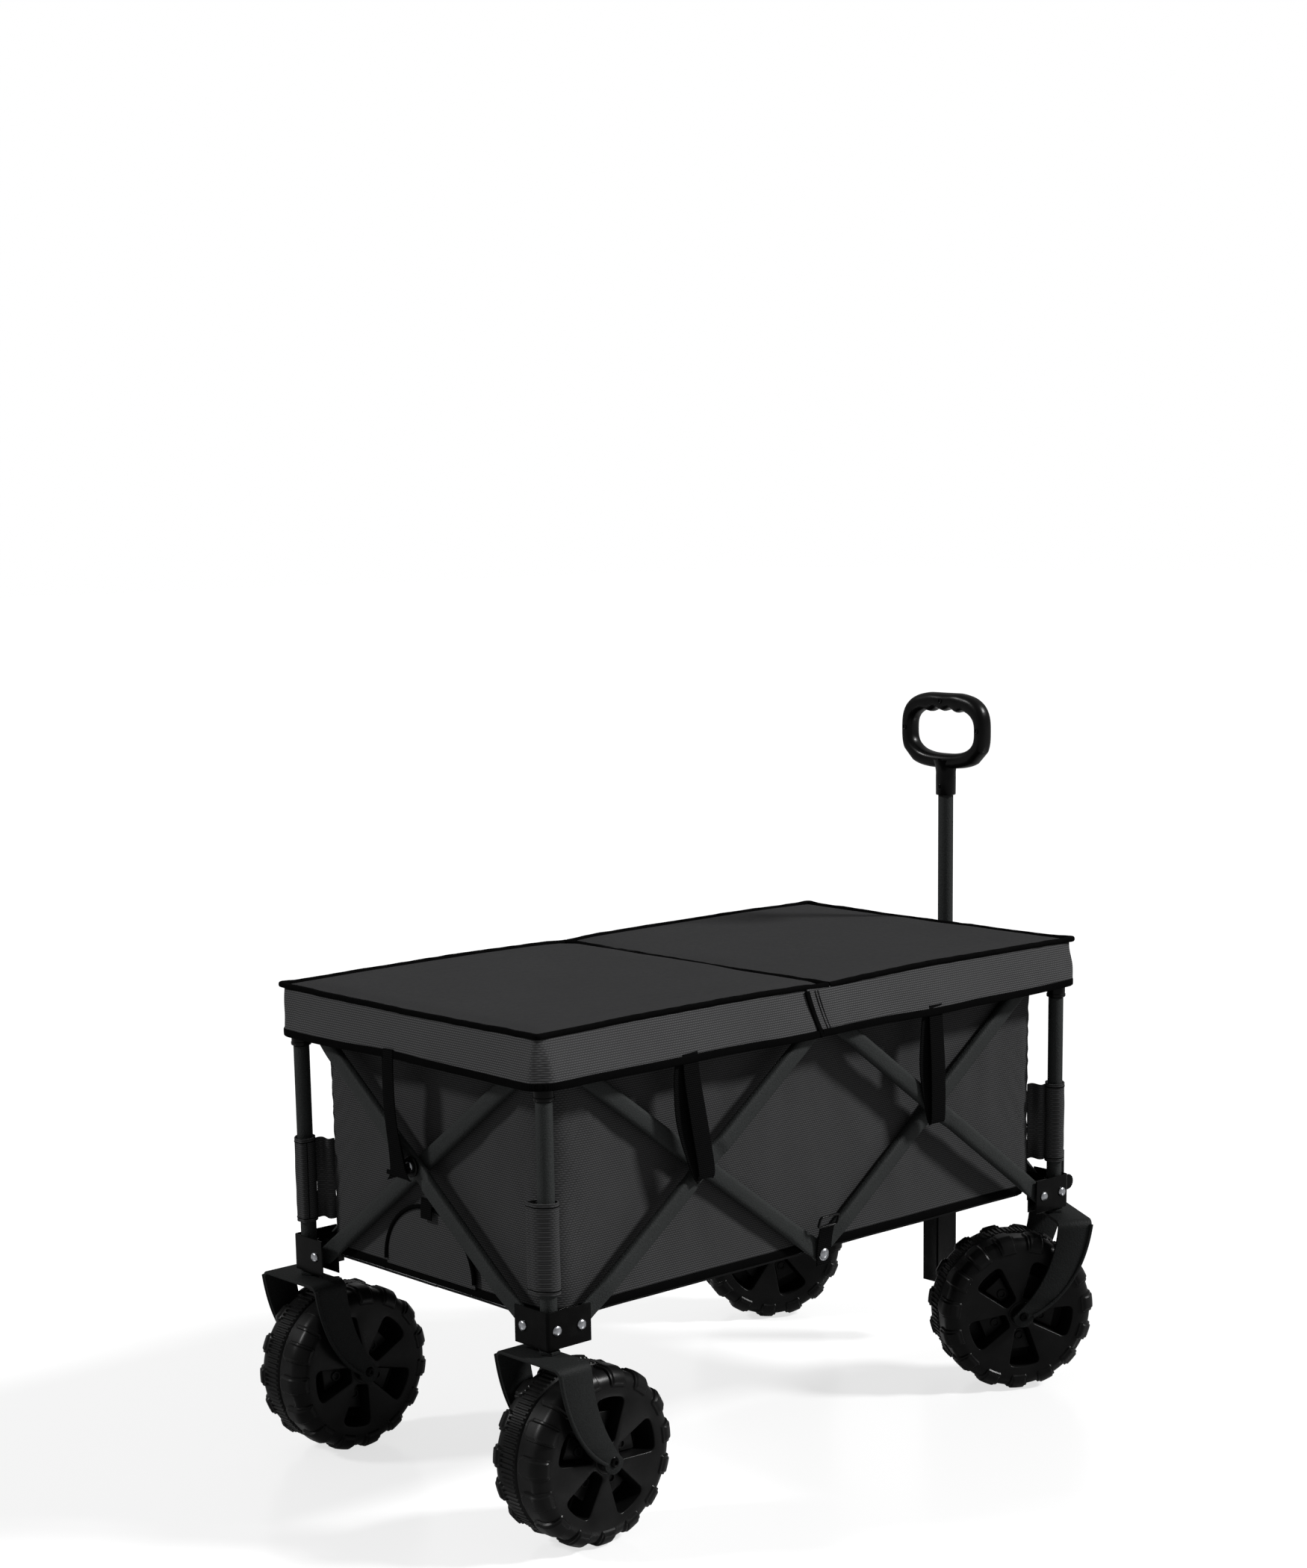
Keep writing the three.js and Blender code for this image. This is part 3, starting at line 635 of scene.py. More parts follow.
def end_cross(side, s):
    """The two arms of an end. The outer one rises towards the wagon's left."""
    outer = arm_tube((-s * END_SPAN, PIVOT_LOW), (s * END_SPAN, PIVOT_HIGH), OUTER)
    inner = arm_tube((s * END_SPAN, PIVOT_LOW), (-s * END_SPAN, PIVOT_HIGH), INNER)
    crossed_arms(side, f"{side}_end", inner, outer)


long_side("right", "rear", "front")
long_side("left", "front", "rear")
end_cross("front", 1)
end_cross("rear", -1)
WASHERED = {"radius": 0.0072, "rise": 0.0032, "washer": 0.0088}
KNUCKLE = [(0.0004, 0.0), (0.0115, 0.0), (0.0125, 0.0012), (0.0125, 0.003), (0.011, 0.0042), (0.0004, 0.0042)]
knuckle = laid(turned(KNUCKLE, 36), "xzy", by=(0, 0.0098, PIVOT_MID))
make("rear_end_knuckle", on_side("rear", knuckle), GRIP_BLACK, "rear_end_inner")
rivet("rear_end_cross_rivet", "rear", "rear_end_inner", (0, 0.0141, PIVOT_MID))
for hand in HANDS:
    low, high = f"mid_bottom_{hand}", f"mid_top_{hand}"
    rivet(f"mid_bottom_dome_{hand}", hand, low, (0, 0.0015, PIVOT_LOW), [f"mid_bottom_rivet_{hand}"],
          **WASHERED)
    rivet(f"mid_top_dome_{hand}", hand, high, (0, 0.0105, PIVOT_HIGH), [f"mid_top_rivet_{hand}"])

# ---- Corners ----


def at_corner(corner, part):
    """Points drawn as (inwards along X, inwards along Y, up) from a post."""
    sx, sy = CORNERS[corner]
    return laid(part, "xyz", (-sx, -sy, 1), (sx * POST_X, sy * POST_Y, 0))


def bent_plate(out, bend, reach_x, reach_y, thick, low, high):
    """An L-shaped plate round a corner's outside, at that distance out from the post, as a closed band."""
    middle = bend - out
    path = [(reach_x, -out)]
    path += [(middle - bend * math.sin(a), middle - bend * math.cos(a)) for a in quarter(8)]
    path = np.array([*path, (-out, reach_y)])
    outline = np.concatenate([path, (path + across_path(path) * thick)[::-1]])
    edge = 0.0005
    # the outline runs clockwise, which turns its insets round
    return stacked(outline, [(-edge, low), (0, low + edge), (0, high - edge), (-edge, high)])


def bracket(corner):
    """The bent plate with the plates behind it, the socket that the post stands in, and three rivets."""
    forwards, leftwards = CORNERS[corner]
    reach_x, reach_y = PIVOT_IN_X + 0.014, PIVOT_IN_Y + 0.014
    low, high = BRACKET_LOW, BRACKET_HIGH
    out = PLATE_OUT + PLATE
    end_back = 0.011 if leftwards > 0 else 0.001
    socket_r = 0.0128
    socket = [(0.0102, low + 0.004), (0.0125, low), (socket_r, low + 0.001), (socket_r, high - 0.007),
              (0.0122, high - 0.006), (0.0103, high - 0.006)]
    pieces = [
        bent_plate(out, 0.004, reach_x, reach_y, PLATE, low, high),
        rounded_box((0.006, reach_x), (0.001, 0.003), (low, high - 0.004), 0.0005),
        rounded_box((end_back, end_back + 0.001), (0.006, reach_y), (low, high - 0.004), 0.0004),
        turned(socket, 40),
        rounded_bar(socket_r, low - 0.0001, low + 0.004, 0.0006),
    ]
    if forwards > 0:
        pieces += front_nose()
    name, body = f"{corner}_bracket", f"{corner}_corner"
    make(f"{name}_plate", at_corner(corner, together(*pieces)), BLACK_STEEL, body, [name])
    heads = [laid(rivet_head(), "xyz", (1, -1, 1), (x, -out, PIVOT_LOW)) for x in (PIVOT_IN_X, 0.0)]
    heads.append(laid(rivet_head(), "yxz", (-1, 1, 1), (-out, PIVOT_IN_Y, PIVOT_LOW)))
    make(f"{corner}_rivets", at_corner(corner, together(*heads)), BRIGHT, body)


def front_nose():
    """The rounded nose that stands forwards of a front bracket, and its short upright channel."""
    y, wide, wall = 0.004, 0.017, PLATE
    outline = [(-0.011, 0.246), (-0.011, 0.266), *arc((-0.034, 0.256), 0.010, 90, 270)]
    back, front = -0.013, -0.026
    upright = (0.254, 0.3)
    return [
        laid(plate(outline, y, y + PLATE, 0.0004), "xzy"),
        rounded_box((front, front + wall), (y, y + wide), upright, 0.0006),
        rounded_box((front, back), (y, y + wall), upright, 0.0006),
        rounded_box((front, back), (y + wide - wall, y + wide), upright, 0.0006),
    ]


def post(corner):
    place = (CORNERS[corner][0] * POST_X, CORNERS[corner][1] * POST_Y, 0)
    lower = rounded_bar(POST_R, POST_LOW, heights(f"{corner}_cap")[0] - 0.0008, 0.0012)
    make(f"{corner}_post_tube", moved(lower, by=place), POWDER, f"{corner}_corner", [f"{corner}_post"])
    node = f"{corner}_upper_tube"
    upper = rounded_bar(UPPER_R, *heights(node))
    make(f"{corner}_inner_tube", moved(upper, by=place), POWDER, f"{corner}_top", [node])


def cap_ear(reach):
    """A thick ear that ends round at a pivot."""
    half, thick = 0.0115, 0.004
    outline = [(0, -half), *arc((PIVOT_IN_X, 0), half, -90, 90), (0, half)]
    outline = np.array(outline)
    outline[1:-1, 0] -= PIVOT_IN_X - reach
    return plate(outline, -thick, thick, 0.001)


def cap(corner):
    """The moulded cap: a round collar, a squarer head, and an ear on each side for the arms' upper pivots."""
    low, high = heights(f"{corner}_cap")
    collar = [(0.0084, 0), (0.0116, 0), (0.0121, 0.0008), (0.0121, 0.0036), (0.0115, 0.0042), (0.0115, 0.017),
              (0.0108, 0.02)]
    shape = together(
        turned([(r, low + z) for r, z in collar], 40),
        plate(rounded_rectangle(0.011, 0.011, 0.005, 6), low + 0.018, high, 0.0022, 4),
        laid(cap_ear(PIVOT_IN_X), "xzy", by=(0, INNER, PIVOT_HIGH)),
        laid(cap_ear(PIVOT_IN_Y), "zxy", by=(OUTER if CORNERS[corner][1] > 0 else INNER, 0, PIVOT_HIGH)),
    )
    make(f"{corner}_cap_moulding", at_corner(corner, shape), GRIP_BLACK, f"{corner}_top", [f"{corner}_cap"])


for corner in CORNERS:
    bracket(corner)
    post(corner)
    cap(corner)

# ---- Forks and axles ----

BOSS = 0.014
FORK_BACK = -0.033
FORK_FRONT = 0.013
FORK_BEND = 0.008
LEG_STEP = 0.0016
# round the edge of a fork's section: distance in from that edge as a share of the softening, and depth
FORK_EDGE = [(0, -0.5), (0.3, -0.85), (1, -1)]


def curve_x(points, z):
    """x on a quadratic curve that falls through three (x, z) points, at height z."""
    (x0, z0), (x1, z1), (x2, z2) = points
    a, b, c = z0 - 2 * z1 + z2, 2 * (z1 - z0), z0 - z
    t = 2 * c / (math.sqrt(max(b * b - 4 * a * c, 0)) - b)
    return bezier(x0, x1, x2, min(max(t, 0), 1))


def fork_sheet(axle_x):
    """A fork bent from one plate, about its stem. Its curved legs narrow to a round end at the axle."""
    s = math.copysign(1, axle_x)
    back, front = FORK_BACK * s, FORK_FRONT * s
    half, top = FORK_HALF - FORK_THICK / 2, FORK_TOP - FORK_THICK / 2
    back_edge = [(back, FORK_TOP), (back + 0.012 * s, WHEEL_R + 0.032), (axle_x - BOSS * s, WHEEL_R - 0.002)]
    front_edge = [(front, FORK_TOP), (front + 0.002 * s, WHEEL_R + 0.050), (axle_x + BOSS * s, WHEEL_R)]

    def limits(z):
        if z <= WHEEL_R:
            reach = math.sqrt(max(BOSS**2 - (z - WHEEL_R) ** 2, 0))
            return axle_x - reach, axle_x + reach
        z = min(z, FORK_TOP)
        return sorted([curve_x(back_edge, z), curve_x(front_edge, z)])

    inner, under = half - FORK_BEND, top - FORK_BEND
    right = [(half, WHEEL_R - BOSS * math.cos(a)) for a in quarter(8)]
    right += [(half, z) for z in np.linspace(WHEEL_R, under, 26)[1:]]
    right += [(inner + FORK_BEND * math.cos(a), under + FORK_BEND * math.sin(a)) for a in quarter(6)[1:]]
    right += [(y, top) for y in np.linspace(inner, 0, 9)[1:]]
    line = np.array(right + [(-y, z) for y, z in right[-2::-1]])
    normal = across_path(line)
    # the legs step inwards a little at the boss
    low_part = 1 - smoothstep(WHEEL_R + 0.015, WHEEL_R + 0.024, line[:, 1])
    line[:, 0] -= np.sign(line[:, 0]) * LEG_STEP * low_part
    rings = []
    for (y, z), (ny, nz) in zip(line, normal):
        x0, x1 = limits(z)
        soft = min(0.0011, max(x1 - x0, 0.0006) / 2.2)
        outline = [(x0 + soft * k, depth) for k, depth in FORK_EDGE]
        outline += [(x1 - soft * k, depth) for k, depth in FORK_EDGE[::-1]]
        outline += [(x1 - soft * k, -depth) for k, depth in FORK_EDGE]
        outline += [(x0 + soft * k, -depth) for k, depth in FORK_EDGE[::-1]]
        t = FORK_THICK / 2
        rings.append([(x, y + ny * t * depth, z + nz * t * depth) for x, depth in outline])
    return skin(rings)


def fork_rib(axle_x):
    """The raised lip along the back edge of each leg."""
    s = math.copysign(1, axle_x)
    back = FORK_BACK * s
    top = np.array([back + 0.002 * s, FORK_TOP - 0.006])
    middle = np.array([back + 0.014 * s, WHEEL_R + 0.032])
    end = np.array([axle_x - (BOSS - 0.002) * s, WHEEL_R])
    x, z = bezier(top, middle, end, np.linspace(0, 1, 30)[:, None]).T
    lips = []
    for side in (-1, 1):
        path = np.column_stack([x, np.full(len(x), side * (FORK_HALF + 0.0003)), z])
        lips.append(swept(path, oval(0.0022, 0.0016, 2.2, 12), up=(0, side, 0)))
    return together(*lips)


BOLT_HEAD = [(0.0062, -0.002), (0.0062, 0.0002), (0.0056, 0.0006), (0.0054, 0.0014), (0.0048, 0.0024),
             (0.0036, 0.0029), (0.0026, 0.0029), (0.0024, 0.0026), (0.0024, 0.0006), (0.0003, 0.0004)]


def axle_x(corner):
    return -CASTER_TRAIL if CORNERS[corner][0] > 0 else REAR_AXLE_IN


def under_corner(corner, part):
    """Carries a part of the undercarriage, drawn about its stem, to its corner."""
    sx, sy = CORNERS[corner]
    return moved(part, turn_about("Z", CASTER_YAW if sx > 0 else 0), (sx * POST_X, sy * POST_Y, 0))


def fork(corner, body):
    x = axle_x(corner)
    stem = rounded_bar(0.008, FORK_TOP - 0.001, BRACKET_LOW, 0.0006)
    nut = plate(arc((0, 0), 0.0125, 0, 300, 5), FORK_TOP, FORK_TOP + 0.0042)
    shape = together(fork_sheet(x), fork_rib(x), stem, nut)
    make(f"{corner}_fork_plate", under_corner(corner, shape), SHADED_FORK_COAT, body, [f"{corner}_fork"])
    bolts = []
    for side in (-1, 1):
        head_at = (x, side * (FORK_HALF - LEG_STEP), WHEEL_R)
        bolts.append(laid(turned(BOLT_HEAD, 30), "xzy", (1, side, 1), head_at))
    shaft_half = FORK_HALF - 0.002
    bolts.append(laid(rounded_bar(0.005, -shaft_half, shaft_half, 0.0005), "xzy", by=(x, 0, WHEEL_R)))
    make(f"{corner}_axle_bolt", under_corner(corner, together(*bolts)), BLACK_STEEL, body, [f"{corner}_axle"])


FORK_BODIES = {"front_right": "caster_fr", "front_left": "caster_fl", "rear_right": "rear_right_corner",
               "rear_left": "rear_left_corner"}
for corner, body in FORK_BODIES.items():
    fork(corner, body)

# ---- Wheels ----

LUGS = 15
PER_LUG = 42
AROUND = LUGS * PER_LUG
RIB_SHAPE = np.array([0.0, 1.0, 1.0, 1.0, 0.0, 0.0])
WINDOWS = 5
WINDOW_START = 18
WINDOW_TURN = 360 / WINDOWS
LUG_RISE = 0.0042
SHOULDER_X = 0.0155
BASE_R = WHEEL_R - LUG_RISE
FACE_R = 0.0795
HUB_R = 0.0165
LUG_HALF = 0.0122
LUG_FROM = -0.0068
LUG_FAR_FROM = 0.0225
LUG_EDGE = 0.0022
STEP = 0.0009
FACE_Y = WHEEL_HALF - 0.0016


def softened(points, reach, steps=6):
    """A closed outline through points with each corner rounded, starting reach before it."""
    points = np.asarray(points, float)
    outline = []
    corners = zip(np.roll(points, 1, 0), points, np.roll(points, -1, 0), np.broadcast_to(reach, len(points)))
    for before, here, after, r in corners:
        a = here + (before - here) / np.linalg.norm(before - here) * r
        b = here + (after - here) / np.linalg.norm(after - here) * r
        outline += [bezier(a, here, b, t) for t in np.linspace(0, 1, steps)]
    return np.array(outline)


def tread_profile():
    """Points (y, r) across the tread from the near face to the far one, without its lugs."""
    rise = BASE_R - FACE_R
    shoulder = [(SHOULDER_X * (1 - math.cos(a)), FACE_R + rise * math.sin(a)) for a in quarter(21)]
    near = [(y - FACE_Y, r) for y, r in shoulder]
    flat = [(y, BASE_R) for y in np.linspace(SHOULDER_X - FACE_Y, -0.0045, 19)[1:]]
    groove = [(-0.0038, 0.0016), (-0.003, 0.0022), (-0.0012, 0.0022), (-0.0004, 0.001)]
    groove = [(y, BASE_R - depth) for y, depth in groove]
    band = [(y, BASE_R) for y in (0.0004, 0.0014, 0.002, 0.008, 0.014, 0.0212, 0.0218, 0.0232, 0.0246)]
    far = [(FACE_Y - y, r) for y, r in shoulder[::-1]]
    return np.array(near + flat + groove + band + far)


def pad(u, v, half, low, high, low_round, high_round):
    """How far inside a rounded pad's outline each (u, v) is. v runs from low to high, rounded at each."""
    middle = (low + high) / 2
    radius = low_round if v < middle else high_round
    du = np.abs(u) - (half - radius)
    dv = abs(v - middle) - ((high - low) / 2 - radius)
    outside = np.hypot(np.maximum(du, 0), max(dv, 0))
    return radius - outside - np.minimum(np.maximum(du, dv), 0)


def tread():
    """Stepped D-shaped lugs round both of the wheel's shoulders, and a ribbed band beside a groove."""
    profile = tread_profile()
    along = np.concatenate([[0], np.cumsum(np.linalg.norm(np.diff(profile, axis=0), axis=1))])
    index = np.arange(AROUND)
    angles = index / AROUND * 2 * math.pi
    around = ((index % PER_LUG) / PER_LUG - 0.5) * 2 * math.pi / LUGS * BASE_R
    rib = RIB_SHAPE[index % len(RIB_SHAPE)]
    near_end, far_start = np.interp((LUG_FROM, LUG_FAR_FROM), profile[:, 0], along)
    total = along[-1]
    rings = []
    for (y, r), v, (ny, nr) in zip(profile, along, -across_path(profile)):
        near = pad(around, v, LUG_HALF, LUG_EDGE, near_end, 0.003, 0.0095)
        far = pad(around, total - v, LUG_HALF, LUG_EDGE, total - far_start, 0.003, 0.006)
        inside_by = np.maximum(near, far)
        first = np.clip(inside_by / STEP + 0.5, 0, 1)
        second = np.clip((inside_by - 0.0034) / STEP + 0.5, 0, 1)
        rise = (0.0025 * first + 0.0017 * second) * (0.7 + 0.3 * smoothstep(FACE_R, BASE_R, r))
        if 0.0013 < y < 0.0219:
            rise = rise + 0.0017 * rib
        radius = r + rise * nr
        rings.append(np.stack([radius * np.cos(angles), y + rise * ny, radius * np.sin(angles)], 1))
    return skin(rings, caps=False)


def window_outline(grow=0.0):
    """A wedge window, (x outwards from the hub, y), with rounded corners and a curved outer edge."""
    near, far, near_half, far_half, far_round = 0.0185, 0.0668, 0.0088, 0.0212, 0.0075
    corners = [(near, -near_half), (far, -far_half), (far, far_half), (near, near_half)]
    outline = softened(corners, [0.004, far_round, far_round, 0.004])
    edge = np.array([(far, y) for y in np.linspace(far_round - far_half, far_half - far_round, 9)[1:-1]])
    outline = np.concatenate([outline[:12], edge, outline[12:]])
    bulge = 0.0034 * smoothstep(far - 0.012, far, outline[:, 0])
    outline[:, 0] += bulge * (1 - (outline[:, 1] / far_half) ** 2)
    return outline + outward_normals(outline) * grow


# how far a window's outline grows and rises at each level of its wall, from the face inwards
WINDOW_LEVELS = [(0.0014, 0.0), (0.0007, -0.0002), (0.0002, -0.0007), (0.0, -0.0014), (-0.0006, -0.012),
                 (-0.0022, -0.032), (-0.0032, -0.033)]
STEP_WEDGE = [(0.0235, -0.0068), (0.0505, -0.0138), (0.0505, 0.0138), (0.0235, 0.0068)]
SCREW_BOSS = [(0.0062, -0.016), (0.006, -0.0136), (0.0054, -0.013), (0.0042, -0.013), (0.0038, -0.0136),
              (0.0036, -0.019)]
HUB_STEPS = [(0, 0), (0.0006, 0.0009), (0.003, 0.0013), (0.0045, 0.0009), (0.005, -0.001), (0.008, -0.001),
             (0.0085, 0.0006), (0.0111, 0.0006)]


def pocket(turn):
    """A deep window with a raised step and a screw boss, as its outline on the wheel's face and its parts."""
    flat_turn = turn[:2, :2]
    rings = [at_height(window_outline(grow) @ flat_turn.T, FACE_Y + z) for grow, z in WINDOW_LEVELS]
    boss_x, boss_y = flat_turn @ np.array([0.0325, 0])
    return rings[0][:, :2], [
        skin(rings, caps=False),
        (rings[-1], [tuple(range(len(rings[-1])))]),
        moved(plate(softened(STEP_WEDGE, 0.003), -0.0335, -0.015, 0.0009), turn, (0, 0, FACE_Y)),
        moved(turned(SCREW_BOSS, 24), by=(boss_x, boss_y, FACE_Y)),
    ]


def on_disc(point):
    """Whether a point of the wheel's face is on its flat part, between the hub, the rim and the windows."""
    nearest = (math.degrees(math.atan2(point.y, point.x)) - WINDOW_START + WINDOW_TURN / 2) % WINDOW_TURN
    angle = math.radians(nearest - WINDOW_TURN / 2)
    local = (point.length * math.cos(angle), point.length * math.sin(angle))
    return HUB_R < point.length < FACE_R and not inside(local, window_outline(WINDOW_LEVELS[0][0]))


def wheel_face():
    """One side face: a flat disc with five windows and a hub."""
    rim, hub_edge = (FACE_R, AROUND), (HUB_R, 40)
    loops = [[(r * math.cos(a), r * math.sin(a)) for a in full_turn(count)] for r, count in (rim, hub_edge)]
    pockets = []
    for k in range(WINDOWS):
        outline, parts = pocket(turn_about("Z", WINDOW_TURN * k + WINDOW_START))
        loops.append(outline)
        pockets += parts
    points, edges, start = [], [], 0
    for loop in loops:
        points += [Vector(p) for p in loop]
        edges += [(start + i, start + (i + 1) % len(loop)) for i in range(len(loop))]
        start += len(loop)
    points, _, faces, *_ = delaunay_2d_cdt(points, edges, [], 0, 1e-7)
    middles = [sum((points[i] for i in face), Vector((0, 0))) / len(face) for face in faces]
    kept = [tuple(face) for face, middle in zip(faces, middles) if on_disc(middle)]
    disc = (np.array([(p.x, p.y, FACE_Y) for p in points]), kept)
    hub = turned([(HUB_R - inwards, FACE_Y + up) for inwards, up in HUB_STEPS], 40, caps=False)
    return together(disc, *pockets, hub)


def inside(point, outline):
    """Whether a 2-D point is inside a closed outline."""
    x, y = point
    x0, y0 = outline[:, 0], outline[:, 1]
    x1, y1 = np.roll(x0, -1), np.roll(y0, -1)
    crosses = ((y0 > y) != (y1 > y)) & (x < (x1 - x0) * (y - y0) / np.where(y1 == y0, 1e-12, y1 - y0) + x0)
    return bool(crosses.sum() % 2)


def welded(part, within=2e-5):
    """Joins points that meet, so that a shape made of patches is one surface."""
    work = bmesh.new()
    mesh = bpy.data.meshes.new("welding")
    mesh.from_pydata(part[0].tolist(), [], part[1])
    work.from_mesh(mesh)
    bmesh.ops.remove_doubles(work, verts=work.verts, dist=within)
    work.to_mesh(mesh)
    work.free()
    points = np.array([v.co for v in mesh.vertices])
    faces = [tuple(p.vertices) for p in mesh.polygons]
    bpy.data.meshes.remove(mesh)
    return points, faces


# each wheel's body, and how far it has rolled
WHEELS = {"front_right": ("wheel_fr", 31), "front_left": ("wheel_fl", 12), "rear_right": ("wheel_rr", 6),
          "rear_left": ("wheel_rl", 47)}
near_face = laid(wheel_face(), "xzy", (1, -1, 1))
far_face = laid(near_face, "xyz", (-1, -1, 1))
WHEEL = welded(together(tread(), near_face, (far_face[0], flipped(far_face[1]))))
for corner, (body, degrees) in WHEELS.items():
    spun = moved(WHEEL, turn_about("Y", degrees), (axle_x(corner), 0, WHEEL_R))
    name = f"{corner}_wheel_moulding"
    make(name, under_corner(corner, spun), WHEEL_BLACK, body, [f"{corner}_wheel"], smooth=32)

# ---- Pull handle ----

GRIP_LOW = 0.780
GRIP_HALF = 0.072
GRIP_THICK = 0.0122
GRIP_POINTS = 120
HOLE_Z = 0.8295
FINGER = 0.022
COLLAR = [(0.0134, 0.768), (0.0138, 0.775), (0.0148, 0.781), (0.0168, 0.7862), (0.019, 0.7915)]
SCREW_CUP = [(0.0036, -0.002), (0.0036, 0.0004), (0.003, 0.0008), (0.0022, 0.0002), (0.0004, -0.0002)]
COLLAR_SCREW = [(0.003, -0.002), (0.003, 0.0004), (0.0024, 0.0009), (0.0004, 0.0011)]
SCREW_SPOTS = [(-0.063, 0.832), (0.063, 0.832), (0, 0.869), (0, 0.79)]


def grip_outline():
    """The grip's outer edge, as (y, z): flat on top, round at the sides, and cut slantwise below."""
    middle, tall = (GRIP_LOW + GRIP_TOP) / 2, (GRIP_TOP - GRIP_LOW) / 2
    y, z = oval(GRIP_HALF, tall, 3.0, GRIP_POINTS).T
    z = np.where(z > 0, np.minimum(z, tall * 0.985), z)
    reach = (GRIP_HALF + tall - 0.027) / np.maximum(np.abs(y) + np.abs(z), 1e-9)
    cut = np.where(z < 0, np.minimum(reach, 1), 1)
    return np.stack([y * cut, z * cut + middle], 1)


def grip_hole():
    """The grip's finger hole, as (y, z), with three finger bumps along its top edge."""
    half, tall = 0.0545, 0.0300
    y = oval(half, tall, 2.5, GRIP_POINTS)[:, 0]
    z = oval(half, tall, 2.8, GRIP_POINTS)[:, 1]
    bumps = 1.5 * FINGER
    top = smoothstep(0.2, 0.7, np.sin(full_turn(GRIP_POINTS))) * (np.abs(y) < bumps)
    z = z - top * 0.0044 * np.abs(np.sin(math.pi * (y + bumps) / FINGER)) ** 1.3
    return np.stack([y, z + HOLE_Z], 1)


def grip():
    """A rounded ring, the collar under it, and small screws."""
    outside, hole = grip_outline(), grip_hole()
    loops = []
    for share, thick in oval(0.5, GRIP_THICK, 2.5, 28):
        yz = hole * (0.5 - share) + outside * (0.5 + share)
        loops.append(np.column_stack([np.full(GRIP_POINTS, HANDLE_X + thick), yz]))
    ring = skin(np.array(loops).transpose(1, 0, 2), closed=True)
    make("grip_ring", ring, GRIP_BLACK, "handle_upper", ["handle_grip"], smooth=50)
    low = [(0.0102, COLLAR_LOW), (0.0128, COLLAR_LOW), (0.0132, COLLAR_LOW + 0.0008)]
    points, faces = turned(low + COLLAR)
    # the collar is round at its foot and flatter towards the grip
    points[:, 0] *= 1 - (1 - 0.86) * smoothstep(0.765, 0.78, points[:, 2])
    make("grip_collar", moved((points, faces), by=(HANDLE_X, 0, 0)), GRIP_BLACK, "handle_upper")
    spots = [(SCREW_CUP, GRIP_THICK, *spot) for spot in SCREW_SPOTS] + [(COLLAR_SCREW, 0.0128, 0, 0.757)]
    screws = []
    for outline, depth, y, z in spots:
        for side in (-1, 1):
            screws.append(laid(turned(outline, 24), "zxy", (side, 1, 1), (HANDLE_X + side * depth, y, z)))
    make("grip_screws", together(*screws), BLACK_STEEL, "handle_upper")


def handle():
    """The two tubes, the grip, and the channel that the handle tilts in, with its pins."""
    for body in ("handle_lower", "handle_upper"):
        node = f"{body}_tube"
        bar = rounded_bar(size(node).y / 2, *heights(node), 0.001)
        make(f"{node}_round", moved(bar, by=(HANDLE_X, 0, 0)), POWDER, body, [node])
    grip()
    back, front = POST_X + 0.0115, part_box("handle_channel")[1].x - MIDDLE.x
    half, bend, pin_r = 0.0135, 0.0025, 0.004
    inner = half - PLATE
    outline = [(front, -inner), (back + PLATE, -inner), (back + PLATE, inner), (front, inner), (front, half)]
    outline += arc((back + bend, half - bend), bend, 90, 180, 6)
    outline += arc((back + bend, bend - half), bend, 180, 270, 6)
    channel = plate([*outline, (front, -half)], CHANNEL_LOW, CHANNEL_HIGH, 0.0003, 2)
    tilt_x, tilt_z = HANDLE_X + 0.002, 0.097
    pin = laid(rounded_bar(pin_r, -half - 0.001, half + 0.001, 0.0003), "xzy", by=(tilt_x, 0, tilt_z))
    cross = laid(rounded_bar(pin_r, POST_X - 0.011, back + 0.001, 0.0003), "zxy", by=(0, 0, PIVOT_MID))
    make("channel_strip", together(channel, pin, cross), BLACK_STEEL, "channel", ["handle_channel"])
    head = rivet_head(radius=0.0055, rise=0.0022)
    heads = [laid(head, "xyz", (1, side, 1), (tilt_x, side * half, tilt_z)) for side in (-1, 1)]
    make("channel_screws", together(*heads), BRIGHT, "channel")


handle()

# ---- Tub ----

CLOTH = 0.0022
LINING = 0.0012
FOOT = TUB_LOW + 0.010
WALL_ROWS = 41
LOWER_ROWS = 25
SAG = 0.006


def shortens(piece):
    """Gives a piece of cloth that lies along the wagon a mesh of its own."""
    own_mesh(piece)


def narrows(piece):
    """Gives a piece of cloth that lies across the wagon a mesh of its own."""
    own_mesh(piece)


